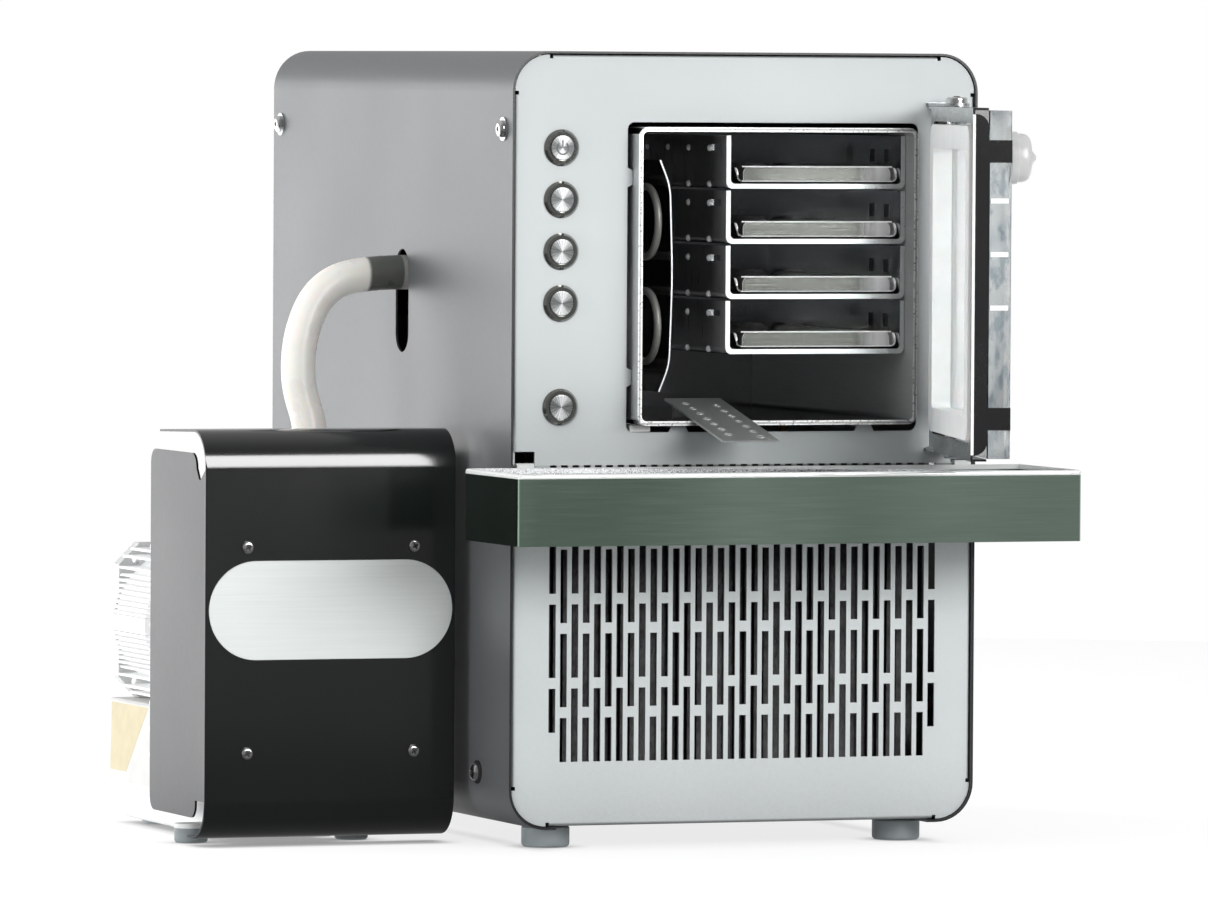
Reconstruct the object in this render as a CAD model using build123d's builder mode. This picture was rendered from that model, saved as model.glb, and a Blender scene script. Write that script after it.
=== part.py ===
from build123d import *
import math
import os

# Freeze dryer: a cabinet with a vacuum chamber, a clear door, a drip tray and a vacuum pump
# beside it, joined by one hose. Sizes in millimetres, X to the right, Y to the back, Z up.

# stock and clearances
sheet = 1.5
gap = 0.3
running = 0.05

# where the cabinet's front edge and centre line lie in the outfit's own frame
cabinet_x = 79.5
cabinet_y = -127.85

# cabinet
cabinet_w = 340.0
cabinet_h = 529.0
cabinet_d = 510.0
corner_r = 27.0
lip_w = 34.0
foot_h = 14.0
foot_r = 16.5
foot_neck_r = 6.0
foot_inset_x = 41.0
foot_inset_y = 40.0
cabinet_mid = foot_h + cabinet_h / 2
cabinet_top = foot_h + cabinet_h

# screws through the sleeve's sides, as depth and height
screw_r = 2.5
screw_hole_r = 3.2
screw_head_r = 6.0
screw_head_h = 3.6
screw_len = 9.0
washer_r = 8.0
washer_t = 1.2
top_screw_drop = 53.0
low_screw_rise = 36.0
front_screw_d = 17.5
low_screw_inset = 63.0
top_screws = [(front_screw_d, cabinet_top - top_screw_drop), (cabinet_d - front_screw_d, cabinet_top - top_screw_drop)]
low_screws = [(low_screw_inset, foot_h + low_screw_rise), (cabinet_d - low_screw_inset, foot_h + low_screw_rise)]

# front and back panels, folded inside the sleeve
panel_depth = 1.5
panel_gap = 0.8
flange_d = 26.0
bend_r = 2.4
relief = 2.6
panel_w = cabinet_w - 2 * (sheet + panel_gap)
panel_h = cabinet_h - 2 * (sheet + panel_gap)
panel_r = corner_r - sheet - panel_gap

# louvres in the back panel, above and below its middle
louvre_len = 54.0
louvre_h = 6.0
louvre_pitch = 13.0
louvre_rows = 8
louvre_offset = cabinet_h * 0.245

# base plate
base_t = 2.0
base_flange_top = 62.0
base_front = panel_depth + flange_d + gap
base_back = cabinet_d - base_front
base_top = foot_h + sheet + gap + base_t

# vacuum chamber, with its inside measured across, up and back
chamber_w = 198.5
chamber_h = 197.0
chamber_d = 306.0
chamber_wall = 3.0
chamber_back_t = 3.0
chamber_x = 20.05
chamber_drop = 152.7
chamber_mid = cabinet_top - chamber_drop
chamber_proud = 10.0
chamber_r = 3.5
chamber_left = chamber_x - chamber_w / 2
chamber_floor = chamber_mid - chamber_h / 2
chamber_rear = chamber_d - chamber_proud

# cut-out round the chamber, and the tapered tabs that hold it
window_margin = 4.1
window_drop = 0.8
window_r = 5.0
tab_root_w = 15.0
tab_w = 9.5
tab_d = 16.0
tab_spread = 68.0

# ventilation grille
grille_cols = 35
grille_pitch = 8.165
grille_drop = 281.1
grille_low = 60.0
slot_w = 4.9
slot_short = 30.0
slot_bridge = 7.3
grille_top = cabinet_top - grille_drop
slot_long = (grille_top - grille_low - slot_short - 3 * slot_bridge) / 3

# push buttons
button_x = -134.3
button_drop = 65.5
button_top_h = cabinet_top - button_drop
button_pitch = 35.2
button_rows = [0, 1, 2, 3, 5]
bezel_r = 12.5
bezel_proud = 2.4
barrel_r = 11.0
barrel_len = 22.0
barrel_hole_r = 11.3
cap_r = 8.6
cap_proud = 0.6
cap_t = 4.0
cap_stem_r = 3.0
cap_stem_len = 3.5
button_travel = 1.5
nut_r = 13.5
nut_t = 3.0

# hose slot in the sleeve's left side
hose_r = 12.0
hose_bore_r = 8.6
port_wall = 2.0
hose_d = 226.0
hose_z = chamber_mid - 1.6
hose_slot_w = 27.0
hose_slot_len = 72.0
hose_slot_top = hose_z + 16.3

# shelf rack and its trays
rack_w = 131.6
rack_d = 250.0
rack_front = 6.0
rack_wall = 3.3
rack_pitch = 37.7
rack_side_h = 36.3
rack_levels = 4
rack_r = 4.5
rack_low = chamber_mid - 53.4
rack_x = chamber_x + chamber_w / 2 - gap - rack_w / 2
tray_w = 117.7
tray_lip_w = 108.1
tray_d = 235.0
tray_h = 10.6
tray_side_h = 9.4
tray_t = 1.0
tray_r = 5.0
tray_bend_r = 3.0
tray_set_back = 5.0
tray_shift = 2.75
mat_t = 1.4

# ice coil and its shield
coil_r = 2.6
coil_x = -60.4
coil_top_h = chamber_mid + 60.7
coil_wide = 48.0
coil_narrow = 23.4
coil_front = 8.0
coil_rear_bend = 268.0
coil_tail = 12.0
shield_t = 1.0
shield_front = 10.0
shield_d = 262.0
shield_reach = 29.1
shield_bow = 1.9
shield_end_reach = 19.8
shield_half_h = 79.0
shield_end_h = 18.0
shield_end_r = 45.0
shield_leg_h = 9.0
shield_leg_w = 20.0

# drain ramp, sloping out over the drip tray
ramp_x = -22.0
ramp_w = 41.0
ramp_t = 1.5
ramp_slope = 12.5
ramp_out = 60.0
ramp_in = 56.0
ramp_hole_r = 2.4
ramp_hole_pitch = 14.0
ramp_hole_rows = 7
guide_front = 2.0
guide_len = 46.0
guide_w = 26.0

# drip tray
drip_w = 407.0
drip_d = 109.0
drip_h = 48.5
drip_drop = 282.5
drip_top = cabinet_top - drip_drop
drip_t = 1.2
drip_hem = 4.0
drip_rim_r = 2.0
drip_corner_r = 2.5
drip_off = 0.8
hook_x = 160.0
hook_w = 12.0
hook_slot_w = 15.4
hook_slot_h = 9.3
hook_slot_low = drip_top + 1.5
hook_leg = 6.0

# door, drawn open; places on it are measured from the hinge axis
door_angle = 75.0
hinge_x = 141.8
door_w = 230.5
door_low = cabinet_top - 270.8
door_top = cabinet_top - 36.2
door_inner = 18.2
door_edge = 6.0
door_flange = 11.0
door_corner_r = 9.0
pane_t = 15.5
pane_start = 10.0
seal_w = 207.0
seal_h = 209.0
seal_band = 16.0
seal_stand = 2.0
seal_clear = 2.0
seal_r = 10.0
hinge_y = -(chamber_proud + gap + seal_stand + door_inner)
ear_r = 9.0
grip_h = 15.0
grip_low = door_low + 20.8
grip_high = door_top - 36.3
knob_along = 208.0
knob_h = door_top - 33.2
knob_r = 17.5
knob_base_t = 5.5
knob_body_t = 9.7
knob_nose_t = 3.4

# hinge brackets and pivot screws
bracket_t = 2.0
bracket_w = 18.0
bracket_leg = 20.0
pivot_r = 3.0
pivot_head_r = 7.5
pivot_head_h = 4.2
pivot_reach = 0.6

# condenser, its fan and shroud
core_side_gap = 29.0
core_w = cabinet_w - 2 * core_side_gap
core_low = 58.0
core_top_gap = 24.8
core_h = chamber_floor - chamber_wall - core_top_gap - core_low
core_t = 24.0
core_front = 30.0
core_plate_t = 2.0
fin_pitch = 7.0
fin_groove = 3.5
fin_groove_d = 4.0
shroud_t = 1.5
shroud_h = core_h + 6
fan_clear = 4.0
fan_r = shroud_h / 2 - fan_clear - 15
fan_collar = 20.0
fan_hub_r = 24.0
fan_hub_t = 18.0
fan_blades = 5
fan_blade_t = 2.4
fan_root_pitch = 38.0
fan_tip_pitch = 20.0
fan_root_chord = 26.0
fan_tip_chord = 44.0
fan_shaft_in = 10.0
fan_arm_t = 3.0
fan_mid = core_low + core_h / 2
fan_motor_r = 32.0
fan_motor_len = 40.0
fan_shaft_r = 4.0
fan_arm_w = 12.0

# compressor and refrigerant parts
comp_x = -30.0
comp_r = 72.0
comp_h = 172.0
comp_base_w = 150.0
comp_rear_gap = 40.0
comp_d = cabinet_d - comp_rear_gap - comp_base_w / 2
comp_base_t = 3.0
comp_mount_r = 9.0
comp_mount_h = 16.0
comp_bottom_r = 18.0
comp_dome_r = 26.0
line_r = 3.2
line_bend_r = 8.0
drier_r = 11.0
drier_len = 90.0
drier_front = 150.0
drier_z = 92.0

# rear support of the chamber
stand_d = 258.0
stand_depth = 24.0
stand_w = 180.0
stand_t = 2.0

# electrical parts
supply_w = 60.0
supply_d = 120.0
supply_h = 110.0
supply_x = 109.0
supply_y = cabinet_d - 120.0
inlet_x = 100.0
inlet_z = 70.0
inlet_w = 48.0
inlet_h = 26.0
inlet_hole_w = 28.0
inlet_hole_h = 20.5
inlet_len = 22.0
inlet_flange_t = 2.5

# vacuum pump; its cover stands a little to the right of the pump's centre line
cover_x = -271.0
cover_w = 180.0
cover_front = 80.0
cover_low = 5.0
cover_top = 284.7
cover_top_fall = 2.9
cover_r = 26.0
cover_back = 182.0
cover_lip_back = 118.0
cover_flange_back = 202.0
cover_flange_low = 19.0
cover_flange_top = 268.0
cover_flange_r = 10.0
cover_neck = 21.0
cover_notch_h = 18.0
cover_notch = [(0.0, 8.5), (11.0, 0.8), (13.5, 0.0), (15.5, 0.8), (21.0, 8.0), (23.0, 8.0)]
cover_screw_dx = 60.0
cover_screw_low = 64.0
cover_screw_high = 204.5
cover_screw_r = 2.0
cover_screw_hole_r = 2.6
cover_screw_head_r = 4.2
cover_screw_head_h = 2.4
badge_w = 175.0
badge_h = 67.5
badge_t = 1.0
badge_mid = 161.5
pump_x = -293.0
pump_foot_r = 11.5
pump_foot_h = 10.0
pump_foot_dx = 58.0
pump_foot_front = 140.0
pump_pad_dx = 24.0
pump_pad_rear = 318.0
pump_base_w = 84.0
pump_base_front = 106.0
pump_base_back = 345.0
pump_base_low = 3.0
pump_skirt_front = 121.0
pump_base_top = 30.0
pump_base_r = 5.0
pump_ear_t = 3.0
drain_x = -333.0
drain_rise = 18.0
case_front = 104.0
case_back = 228.0
case_w = 124.0
case_top = 225.0
motor_z = 142.0
motor_core_r = 51.0
motor_fin_r = 58.0
motor_flat = 54.5
motor_front = 246.0
motor_back = 333.0
motor_fins = 19
motor_fin_pitch = 3.6
motor_fin_t = 1.7
motor_band = 11.0
motor_pad_w = 46.0
motor_steps = [(37.6, 49.0), (45.4, 46.5), (50.4, 40.5)]
shield_ring_t = 12.0
motor_plate_w = 98.0
motor_plate_cut = 15.0
motor_bolt_dx = 36.0
motor_bolt_dz = 43.0
motor_bolt_r = 3.5
cowl_r = 50.0
cowl_len = 30.0
cowl_t = 1.5
cowl_holes = 8
rotor_r = 6.0
impeller_r = 42.0
impeller_blades = 7
impeller_t = 20.0
box_w = 100.0
box_front = 232.0
box_back = 352.0
box_r = 2.5
barb_x = -243.0
barb_d = 213.0
barb_end = 262.0
hose_end = 236.0


def facing_front(depth):
    """Upright plane facing forward, with x across from the centre line and y up from the floor."""
    return Plane(origin=(cabinet_x, cabinet_y + depth, 0), x_dir=(1, 0, 0), z_dir=(0, -1, 0))


def facing_right(across):
    """Upright plane facing right, with x back from the cabinet's front edge and y up from the floor."""
    return Plane(origin=(cabinet_x + across, cabinet_y, 0), x_dir=(0, 1, 0), z_dir=(1, 0, 0))


def facing_up(height):
    """Level plane, with x across from the centre line and y back from the cabinet's front edge."""
    return Plane(origin=(cabinet_x, cabinet_y, height), x_dir=(1, 0, 0), z_dir=(0, 0, 1))


door_along = Vector(-math.cos(math.radians(door_angle)), -math.sin(math.radians(door_angle)), 0)
door_out = Vector(math.sin(math.radians(door_angle)), -math.cos(math.radians(door_angle)), 0)
hinge_point = Vector(cabinet_x + hinge_x, cabinet_y + hinge_y, 0)


def door_face(out):
    """Plane of the open door, with x from the hinge axis to the free edge and y up; it faces inward."""
    return Plane(origin=hinge_point + door_out * out, x_dir=door_along, z_dir=door_out * -1)


def door_level(height):
    """Level plane, with x along the open door and y towards its outside."""
    return Plane(origin=hinge_point + Vector(0, 0, height), x_dir=door_along, z_dir=(0, 0, 1))


def finish(builder, name):
    """Label a finished piece and write it out."""
    builder.part.label = name
    export_step(builder.part, f"parts/{name}.step")


os.makedirs("parts", exist_ok=True)

# ---------------------------------------------------------------- cabinet

with BuildPart() as cabinet_sleeve:
    with BuildSketch(facing_front(cabinet_d)):
        with Locations((0, cabinet_mid)):
            RectangleRounded(cabinet_w, cabinet_h, corner_r)
            RectangleRounded(cabinet_w - 2 * sheet, cabinet_h - 2 * sheet, corner_r - sheet, mode=Mode.SUBTRACT)
        with Locations((0, foot_h + sheet / 2)):
            Rectangle(cabinet_w - 2 * lip_w, 2 * sheet, mode=Mode.SUBTRACT)
    extrude(amount=cabinet_d)
    with BuildSketch(facing_right(-cabinet_w / 2)):
        with Locations((hose_d, hose_slot_top - hose_slot_len / 2)):
            SlotOverall(hose_slot_len, hose_slot_w, rotation=90)
    extrude(amount=2 * sheet, mode=Mode.SUBTRACT)
    with BuildSketch(facing_right(-cabinet_w / 2)):
        with Locations(*top_screws, *low_screws):
            Circle(screw_hole_r)
    extrude(amount=cabinet_w, mode=Mode.SUBTRACT)
finish(cabinet_sleeve, "cabinet_sleeve")

button_heights = [button_top_h - row * button_pitch for row in button_rows]
button_spots = [(button_x, height) for height in button_heights]


def folded_panel(face_depth, inward):
    """Rounded panel with its straight edges folded inward; its outer face is at the given depth."""
    flat = Plane(origin=facing_front(face_depth).origin, x_dir=(1, 0, 0), z_dir=(0, inward, 0))
    middle = (0, -inward * cabinet_mid)
    with BuildPart() as panel:
        with BuildSketch(flat):
            with Locations(middle):
                RectangleRounded(panel_w, panel_h, panel_r)
        extrude(amount=sheet)
        with BuildSketch(flat):
            with Locations(middle):
                with GridLocations(panel_w - sheet, 0, 2, 1):
                    Rectangle(sheet, panel_h - 2 * panel_r - 2 * relief)
                with GridLocations(0, panel_h - sheet, 1, 2):
                    Rectangle(panel_w - 2 * panel_r - 2 * relief, sheet)
        extrude(amount=flange_d)
        # relief notches where each fold ends beside a rounded corner
        with BuildSketch(flat):
            with Locations(middle):
                with GridLocations(panel_w, panel_h - 2 * panel_r - relief, 2, 2):
                    Rectangle(2 * relief, relief)
                with GridLocations(panel_w - 2 * panel_r - relief, panel_h, 2, 2):
                    Rectangle(relief, 2 * relief)
        extrude(amount=sheet, mode=Mode.SUBTRACT)
        outer_edges = panel.edges().filter_by(GeomType.LINE).group_by(Axis.Y)[0 if inward > 0 else -1]
        fillet(outer_edges.filter_by(lambda edge: edge.length > panel_w / 2), radius=bend_r)
    return panel


with BuildPart() as front_panel:
    add(folded_panel(panel_depth, 1).part)
    # cut-out for the chamber
    window_mid = chamber_mid - window_drop
    window_w = chamber_w + 2 * (chamber_wall + window_margin)
    window_h = chamber_h + 2 * (chamber_wall + window_margin)
    with BuildSketch(facing_front(panel_depth + sheet)):
        with Locations((chamber_x, window_mid)):
            RectangleRounded(window_w, window_h, window_r)
    extrude(amount=sheet, mode=Mode.SUBTRACT)
    # tapered tabs at the sides and below, folded back along the chamber's walls
    chamber_side = chamber_w / 2 + chamber_wall + gap
    chamber_under = chamber_mid - chamber_h / 2 - chamber_wall - gap
    tab_places = [(chamber_x - chamber_side, window_mid + tab_spread, 0),
                  (chamber_x - chamber_side, window_mid - tab_spread, 0),
                  (chamber_x - tab_spread, chamber_under, 90), (chamber_x + tab_spread, chamber_under, 90),
                  (chamber_x + chamber_side, window_mid - tab_spread, 180),
                  (chamber_x + chamber_side, window_mid + tab_spread, 180)]
    for across, height, turn in tab_places:
        tip = Location((across, height), turn)
        with BuildSketch(facing_front(panel_depth + sheet)):
            with Locations(tip):
                Polygon((0, -tab_w / 2), (0, tab_w / 2), (-window_margin - sheet, tab_root_w / 2),
                        (-window_margin - sheet, -tab_root_w / 2), align=None)
        extrude(amount=sheet)
        with BuildSketch(facing_front(panel_depth + tab_d)):
            with Locations(tip):
                Rectangle(sheet, tab_w, align=(Align.MAX, Align.CENTER))
        extrude(amount=tab_d)
    # staggered grille slots
    with BuildSketch(facing_front(panel_depth + sheet)):
        for column in range(grille_cols):
            if column in (0, grille_cols - 1):
                lengths = [slot_short, slot_long, slot_long, slot_short]
            elif column % 2 == 0:
                lengths = [slot_short, slot_long, slot_long, slot_long]
            else:
                lengths = [slot_long, slot_long, slot_long, slot_short]
            top = grille_top
            for length in lengths:
                with Locations(((column - (grille_cols - 1) / 2) * grille_pitch, top - length / 2)):
                    Rectangle(slot_w, length)
                top -= length + slot_bridge
    extrude(amount=sheet, mode=Mode.SUBTRACT)
    # holes for the buttons, the tray's hooks, the hinge brackets and the side screws
    with BuildSketch(facing_front(panel_depth + sheet)):
        with Locations(*button_spots):
            Circle(barrel_hole_r)
        with Locations((-hook_x, hook_slot_low + hook_slot_h / 2), (hook_x, hook_slot_low + hook_slot_h / 2)):
            Rectangle(hook_slot_w, hook_slot_h)
        with Locations((hinge_x, door_top + gap + bracket_t / 2), (hinge_x, door_low - gap - bracket_t / 2)):
            Rectangle(bracket_w + 2 * gap, bracket_t + 2 * gap)
    extrude(amount=sheet, mode=Mode.SUBTRACT)
    with BuildSketch(facing_right(-cabinet_w / 2)):
        with Locations(top_screws[0]):
            Circle(screw_hole_r)
    extrude(amount=cabinet_w, mode=Mode.SUBTRACT)
finish(front_panel, "front_panel")

with BuildPart() as back_panel:
    back_face = cabinet_d - panel_depth
    add(folded_panel(back_face, -1).part)
    # louvre slots behind the compressor and above it
    with BuildSketch(facing_front(back_face)):
        for height in (cabinet_mid - louvre_offset, cabinet_mid + louvre_offset):
            with Locations((0, height)):
                with GridLocations(louvre_len + 16, louvre_pitch, 3, louvre_rows):
                    SlotOverall(louvre_len, louvre_h)
        with Locations((inlet_x, inlet_z)):
            Rectangle(inlet_hole_w, inlet_hole_h)
            with GridLocations(inlet_w - 8, 0, 2, 1):
                Circle(1.8)
    extrude(amount=sheet, mode=Mode.SUBTRACT)
    with BuildSketch(facing_right(-cabinet_w / 2)):
        with Locations(top_screws[1]):
            Circle(screw_hole_r)
    extrude(amount=cabinet_w, mode=Mode.SUBTRACT)
finish(back_panel, "back_panel")

with BuildPart() as base_plate:
    # a trough that follows the sleeve's lower corners
    inset = sheet + gap
    with BuildSketch(facing_front(base_back)):
        with Locations((0, cabinet_mid)):
            RectangleRounded(cabinet_w - 2 * inset, cabinet_h - 2 * inset, corner_r - inset)
            RectangleRounded(cabinet_w - 2 * (inset + base_t), cabinet_h - 2 * (inset + base_t),
                             corner_r - inset - base_t, mode=Mode.SUBTRACT)
        with Locations((0, base_flange_top)):
            Rectangle(cabinet_w, cabinet_h, align=(Align.CENTER, Align.MIN), mode=Mode.SUBTRACT)
    extrude(amount=base_back - base_front)
    with BuildSketch(facing_right(-cabinet_w / 2)):
        with Locations(*low_screws):
            Circle(screw_hole_r)
    extrude(amount=cabinet_w, mode=Mode.SUBTRACT)
finish(base_plate, "base_plate")

foot_spots = [(side * (cabinet_w / 2 - foot_inset_x), depth)
              for side in (-1, 1) for depth in (foot_inset_y, cabinet_d - foot_inset_y)]

with BuildPart() as cabinet_feet:
    with BuildSketch(facing_up(0)):
        with Locations(*foot_spots):
            Circle(foot_r)
    extrude(amount=foot_h)
    fillet(cabinet_feet.edges().group_by(Axis.Z)[0], radius=2.5)
    chamfer(cabinet_feet.edges().group_by(Axis.Z)[-1], length=1.0)
    with BuildSketch(facing_up(foot_h)):
        with Locations(*foot_spots):
            Circle(foot_neck_r)
    extrude(amount=sheet + gap)
finish(cabinet_feet, "cabinet_feet")

with BuildPart() as side_screws:
    for side in (-1, 1):
        outside = side * (cabinet_w / 2 + washer_t)
        with BuildSketch(facing_right(outside)):
            with Locations(*top_screws, *low_screws):
                Circle(screw_head_r)
        extrude(amount=side * screw_head_h)
        fillet(side_screws.edges().group_by(Axis.X)[0 if side < 0 else -1], radius=screw_head_h * 0.8)
        with BuildSketch(facing_right(outside)):
            with Locations(*top_screws, *low_screws):
                Circle(screw_r)
        extrude(amount=-side * screw_len)
        # steel washers under the upper heads
        with BuildSketch(facing_right(side * cabinet_w / 2)):
            with Locations(*top_screws):
                Circle(washer_r)
        extrude(amount=side * washer_t)
finish(side_screws, "side_screws")

with BuildPart() as rubber_washers:
    for side in (-1, 1):
        with BuildSketch(facing_right(side * cabinet_w / 2)):
            with Locations(*low_screws):
                Circle(washer_r)
                Circle(screw_r + gap, mode=Mode.SUBTRACT)
        extrude(amount=side * (washer_t - gap / 2))
finish(rubber_washers, "rubber_washers")

# ---------------------------------------------------------------- vacuum chamber and what it holds

with BuildPart() as vacuum_chamber:
    with BuildSketch(facing_front(chamber_rear)):
        with Locations((chamber_x, chamber_mid)):
            RectangleRounded(chamber_w + 2 * chamber_wall, chamber_h + 2 * chamber_wall, chamber_r + chamber_wall)
            RectangleRounded(chamber_w, chamber_h, chamber_r, mode=Mode.SUBTRACT)
    extrude(amount=chamber_d)
    with BuildSketch(facing_front(chamber_rear + chamber_back_t)):
        with Locations((chamber_x, chamber_mid)):
            RectangleRounded(chamber_w + 2 * chamber_wall, chamber_h + 2 * chamber_wall, chamber_r + chamber_wall)
    extrude(amount=chamber_back_t)
    coil_low_h = coil_top_h - 2 * coil_wide - coil_narrow
    with BuildSketch(facing_front(chamber_rear + chamber_back_t)):
        with Locations((coil_x, coil_top_h), (coil_x, coil_low_h)):
            Circle(coil_r + gap)
    extrude(amount=chamber_back_t, mode=Mode.SUBTRACT)
    with BuildSketch(facing_right(chamber_left - chamber_wall)):
        with Locations((hose_d, hose_z)):
            Circle(hose_bore_r - port_wall)
    extrude(amount=chamber_wall, mode=Mode.SUBTRACT)
finish(vacuum_chamber, "vacuum_chamber")

with BuildPart() as chamber_stand:
    # folded support under the chamber's rear
    stand_top = chamber_floor - chamber_wall
    with BuildSketch(facing_right(chamber_x - stand_w / 2)):
        with Locations((stand_d, base_top), (stand_d, stand_top - stand_t)):
            Rectangle(stand_depth, stand_t, align=(Align.MIN, Align.MIN))
        with Locations((stand_d, base_top)):
            Rectangle(stand_t, stand_top - base_top, align=(Align.MIN, Align.MIN))
    extrude(amount=stand_w)
    with BuildSketch(facing_front(stand_d + stand_t)):
        with Locations((chamber_x, (base_top + stand_top) / 2)):
            RectangleRounded(stand_w - 50, stand_top - base_top - 60, 12)
    extrude(amount=stand_t, mode=Mode.SUBTRACT)
finish(chamber_stand, "chamber_stand")

with BuildPart() as vacuum_port:
    port_out = -(cabinet_w / 2 + 26)
    with BuildSketch(facing_right(chamber_left - chamber_wall)):
        with Locations((hose_d, hose_z)):
            Circle(hose_bore_r + 6)
            Circle(hose_bore_r - port_wall, mode=Mode.SUBTRACT)
    extrude(amount=-4)
    with BuildSketch(facing_right(chamber_left - chamber_wall)):
        with Locations((hose_d, hose_z)):
            Circle(hose_bore_r)
            Circle(hose_bore_r - port_wall, mode=Mode.SUBTRACT)
    extrude(amount=port_out - chamber_left + chamber_wall)
finish(vacuum_port, "vacuum_port")

with BuildPart() as tray_rack:
    rack_back = rack_front + rack_d
    with BuildSketch(facing_front(rack_back)):
        for level in range(rack_levels):
            with Locations((rack_x, rack_low + level * rack_pitch)):
                RectangleRounded(rack_w, rack_side_h + 2 * rack_r, rack_r, align=(Align.CENTER, Align.MIN))
            with Locations((rack_x, rack_low + level * rack_pitch + rack_wall)):
                RectangleRounded(rack_w - 2 * rack_wall, rack_side_h + 2 * rack_r, rack_r - rack_wall / 2,
                                 align=(Align.CENTER, Align.MIN), mode=Mode.SUBTRACT)
            with Locations((rack_x, rack_low + level * rack_pitch + rack_side_h)):
                Rectangle(rack_w, 4 * rack_r, align=(Align.CENTER, Align.MIN), mode=Mode.SUBTRACT)
    extrude(amount=rack_d)
    # plate that joins the shelves at the back
    with BuildSketch(facing_front(rack_back + rack_wall)):
        with Locations((rack_x, rack_low)):
            Rectangle(rack_w, (rack_levels - 1) * rack_pitch + rack_side_h, align=(Align.CENTER, Align.MIN))
        for level in range(rack_levels):
            with Locations((rack_x, rack_low + level * rack_pitch + 24)):
                Rectangle(12, 10, mode=Mode.SUBTRACT)
    extrude(amount=rack_wall)
    # slots in the left walls, and square holes in the right walls
    with BuildSketch(facing_right(rack_x - rack_w / 2)):
        for level in range(rack_levels):
            with Locations((rack_front + 21.3, rack_low + level * rack_pitch + 27.9)):
                Rectangle(21.4, 4.2)
    extrude(amount=rack_wall, mode=Mode.SUBTRACT)
    with BuildSketch(facing_right(rack_x + rack_w / 2)):
        for level in range(rack_levels):
            with Locations((rack_front + 26, rack_low + level * rack_pitch + 22.5),
                           (rack_front + 53, rack_low + level * rack_pitch + 22.5)):
                Rectangle(9.5, 9)
    extrude(amount=-rack_wall, mode=Mode.SUBTRACT)
finish(tray_rack, "tray_rack")

tray_front = rack_front + tray_set_back
tray_x = rack_x + tray_shift

with BuildPart() as heater_mats:
    # thin mat on each shelf, under its tray
    for level in range(rack_levels):
        with BuildSketch(facing_up(rack_low + level * rack_pitch + rack_wall + running)):
            with Locations((tray_x, tray_front + tray_r)):
                Rectangle(tray_lip_w, tray_d - 2 * tray_r, align=(Align.CENTER, Align.MIN))
        extrude(amount=mat_t)
finish(heater_mats, "heater_mats")

for level in range(rack_levels):
    tray_floor = rack_low + level * rack_pitch + rack_wall + mat_t + 2 * running
    with BuildPart() as shelf_tray:
        # floor with its sides bent up
        with BuildSketch(facing_front(tray_front + tray_d)):
            with BuildLine():
                side_w = (tray_w - tray_t) / 2
                low = tray_floor + tray_t / 2
                FilletPolyline((tray_x - side_w, tray_floor + tray_side_h), (tray_x - side_w, low),
                               (tray_x + side_w, low), (tray_x + side_w, tray_floor + tray_side_h),
                               radius=tray_bend_r)
            trace(line_width=tray_t)
        extrude(amount=tray_d)
        fillet(shelf_tray.edges().filter_by(Axis.X).group_by(Axis.Z)[-1], radius=tray_r)
        # front and rear lips with rounded upper corners
        for depth in (tray_front + tray_t, tray_front + tray_d):
            with BuildSketch(facing_front(depth)):
                with Locations((tray_x, tray_floor)):
                    Rectangle(tray_lip_w, tray_h - tray_r, align=(Align.CENTER, Align.MIN))
                with Locations((tray_x, tray_floor + tray_h)):
                    RectangleRounded(tray_lip_w, 2 * tray_r + 0.2, tray_r, align=(Align.CENTER, Align.MAX))
            extrude(amount=tray_t)
    finish(shelf_tray, f"shelf_tray_{level + 1}")

with BuildPart() as ice_coil:
    # serpentine tube: two wide bends in front and a narrow one behind
    heights = [coil_top_h, coil_top_h - coil_wide, coil_top_h - coil_wide - coil_narrow, coil_low_h]
    coil_end = chamber_rear + chamber_back_t + coil_tail
    wide_start = coil_front + coil_r + coil_wide / 2
    with BuildLine(facing_right(coil_x)):
        Line((coil_end, heights[0]), (wide_start, heights[0]))
        ThreePointArc((wide_start, heights[0]), (coil_front + coil_r, (heights[0] + heights[1]) / 2),
                      (wide_start, heights[1]))
        Line((wide_start, heights[1]), (coil_rear_bend, heights[1]))
        ThreePointArc((coil_rear_bend, heights[1]),
                      (coil_rear_bend + coil_narrow / 2, (heights[1] + heights[2]) / 2),
                      (coil_rear_bend, heights[2]))
        Line((coil_rear_bend, heights[2]), (wide_start, heights[2]))
        ThreePointArc((wide_start, heights[2]), (coil_front + coil_r, (heights[2] + heights[3]) / 2),
                      (wide_start, heights[3]))
        Line((wide_start, heights[3]), (coil_end, heights[3]))
    with BuildSketch(facing_front(coil_end)):
        with Locations((coil_x, heights[0])):
            Circle(coil_r)
    sweep()
finish(ice_coil, "ice_coil")

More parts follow.
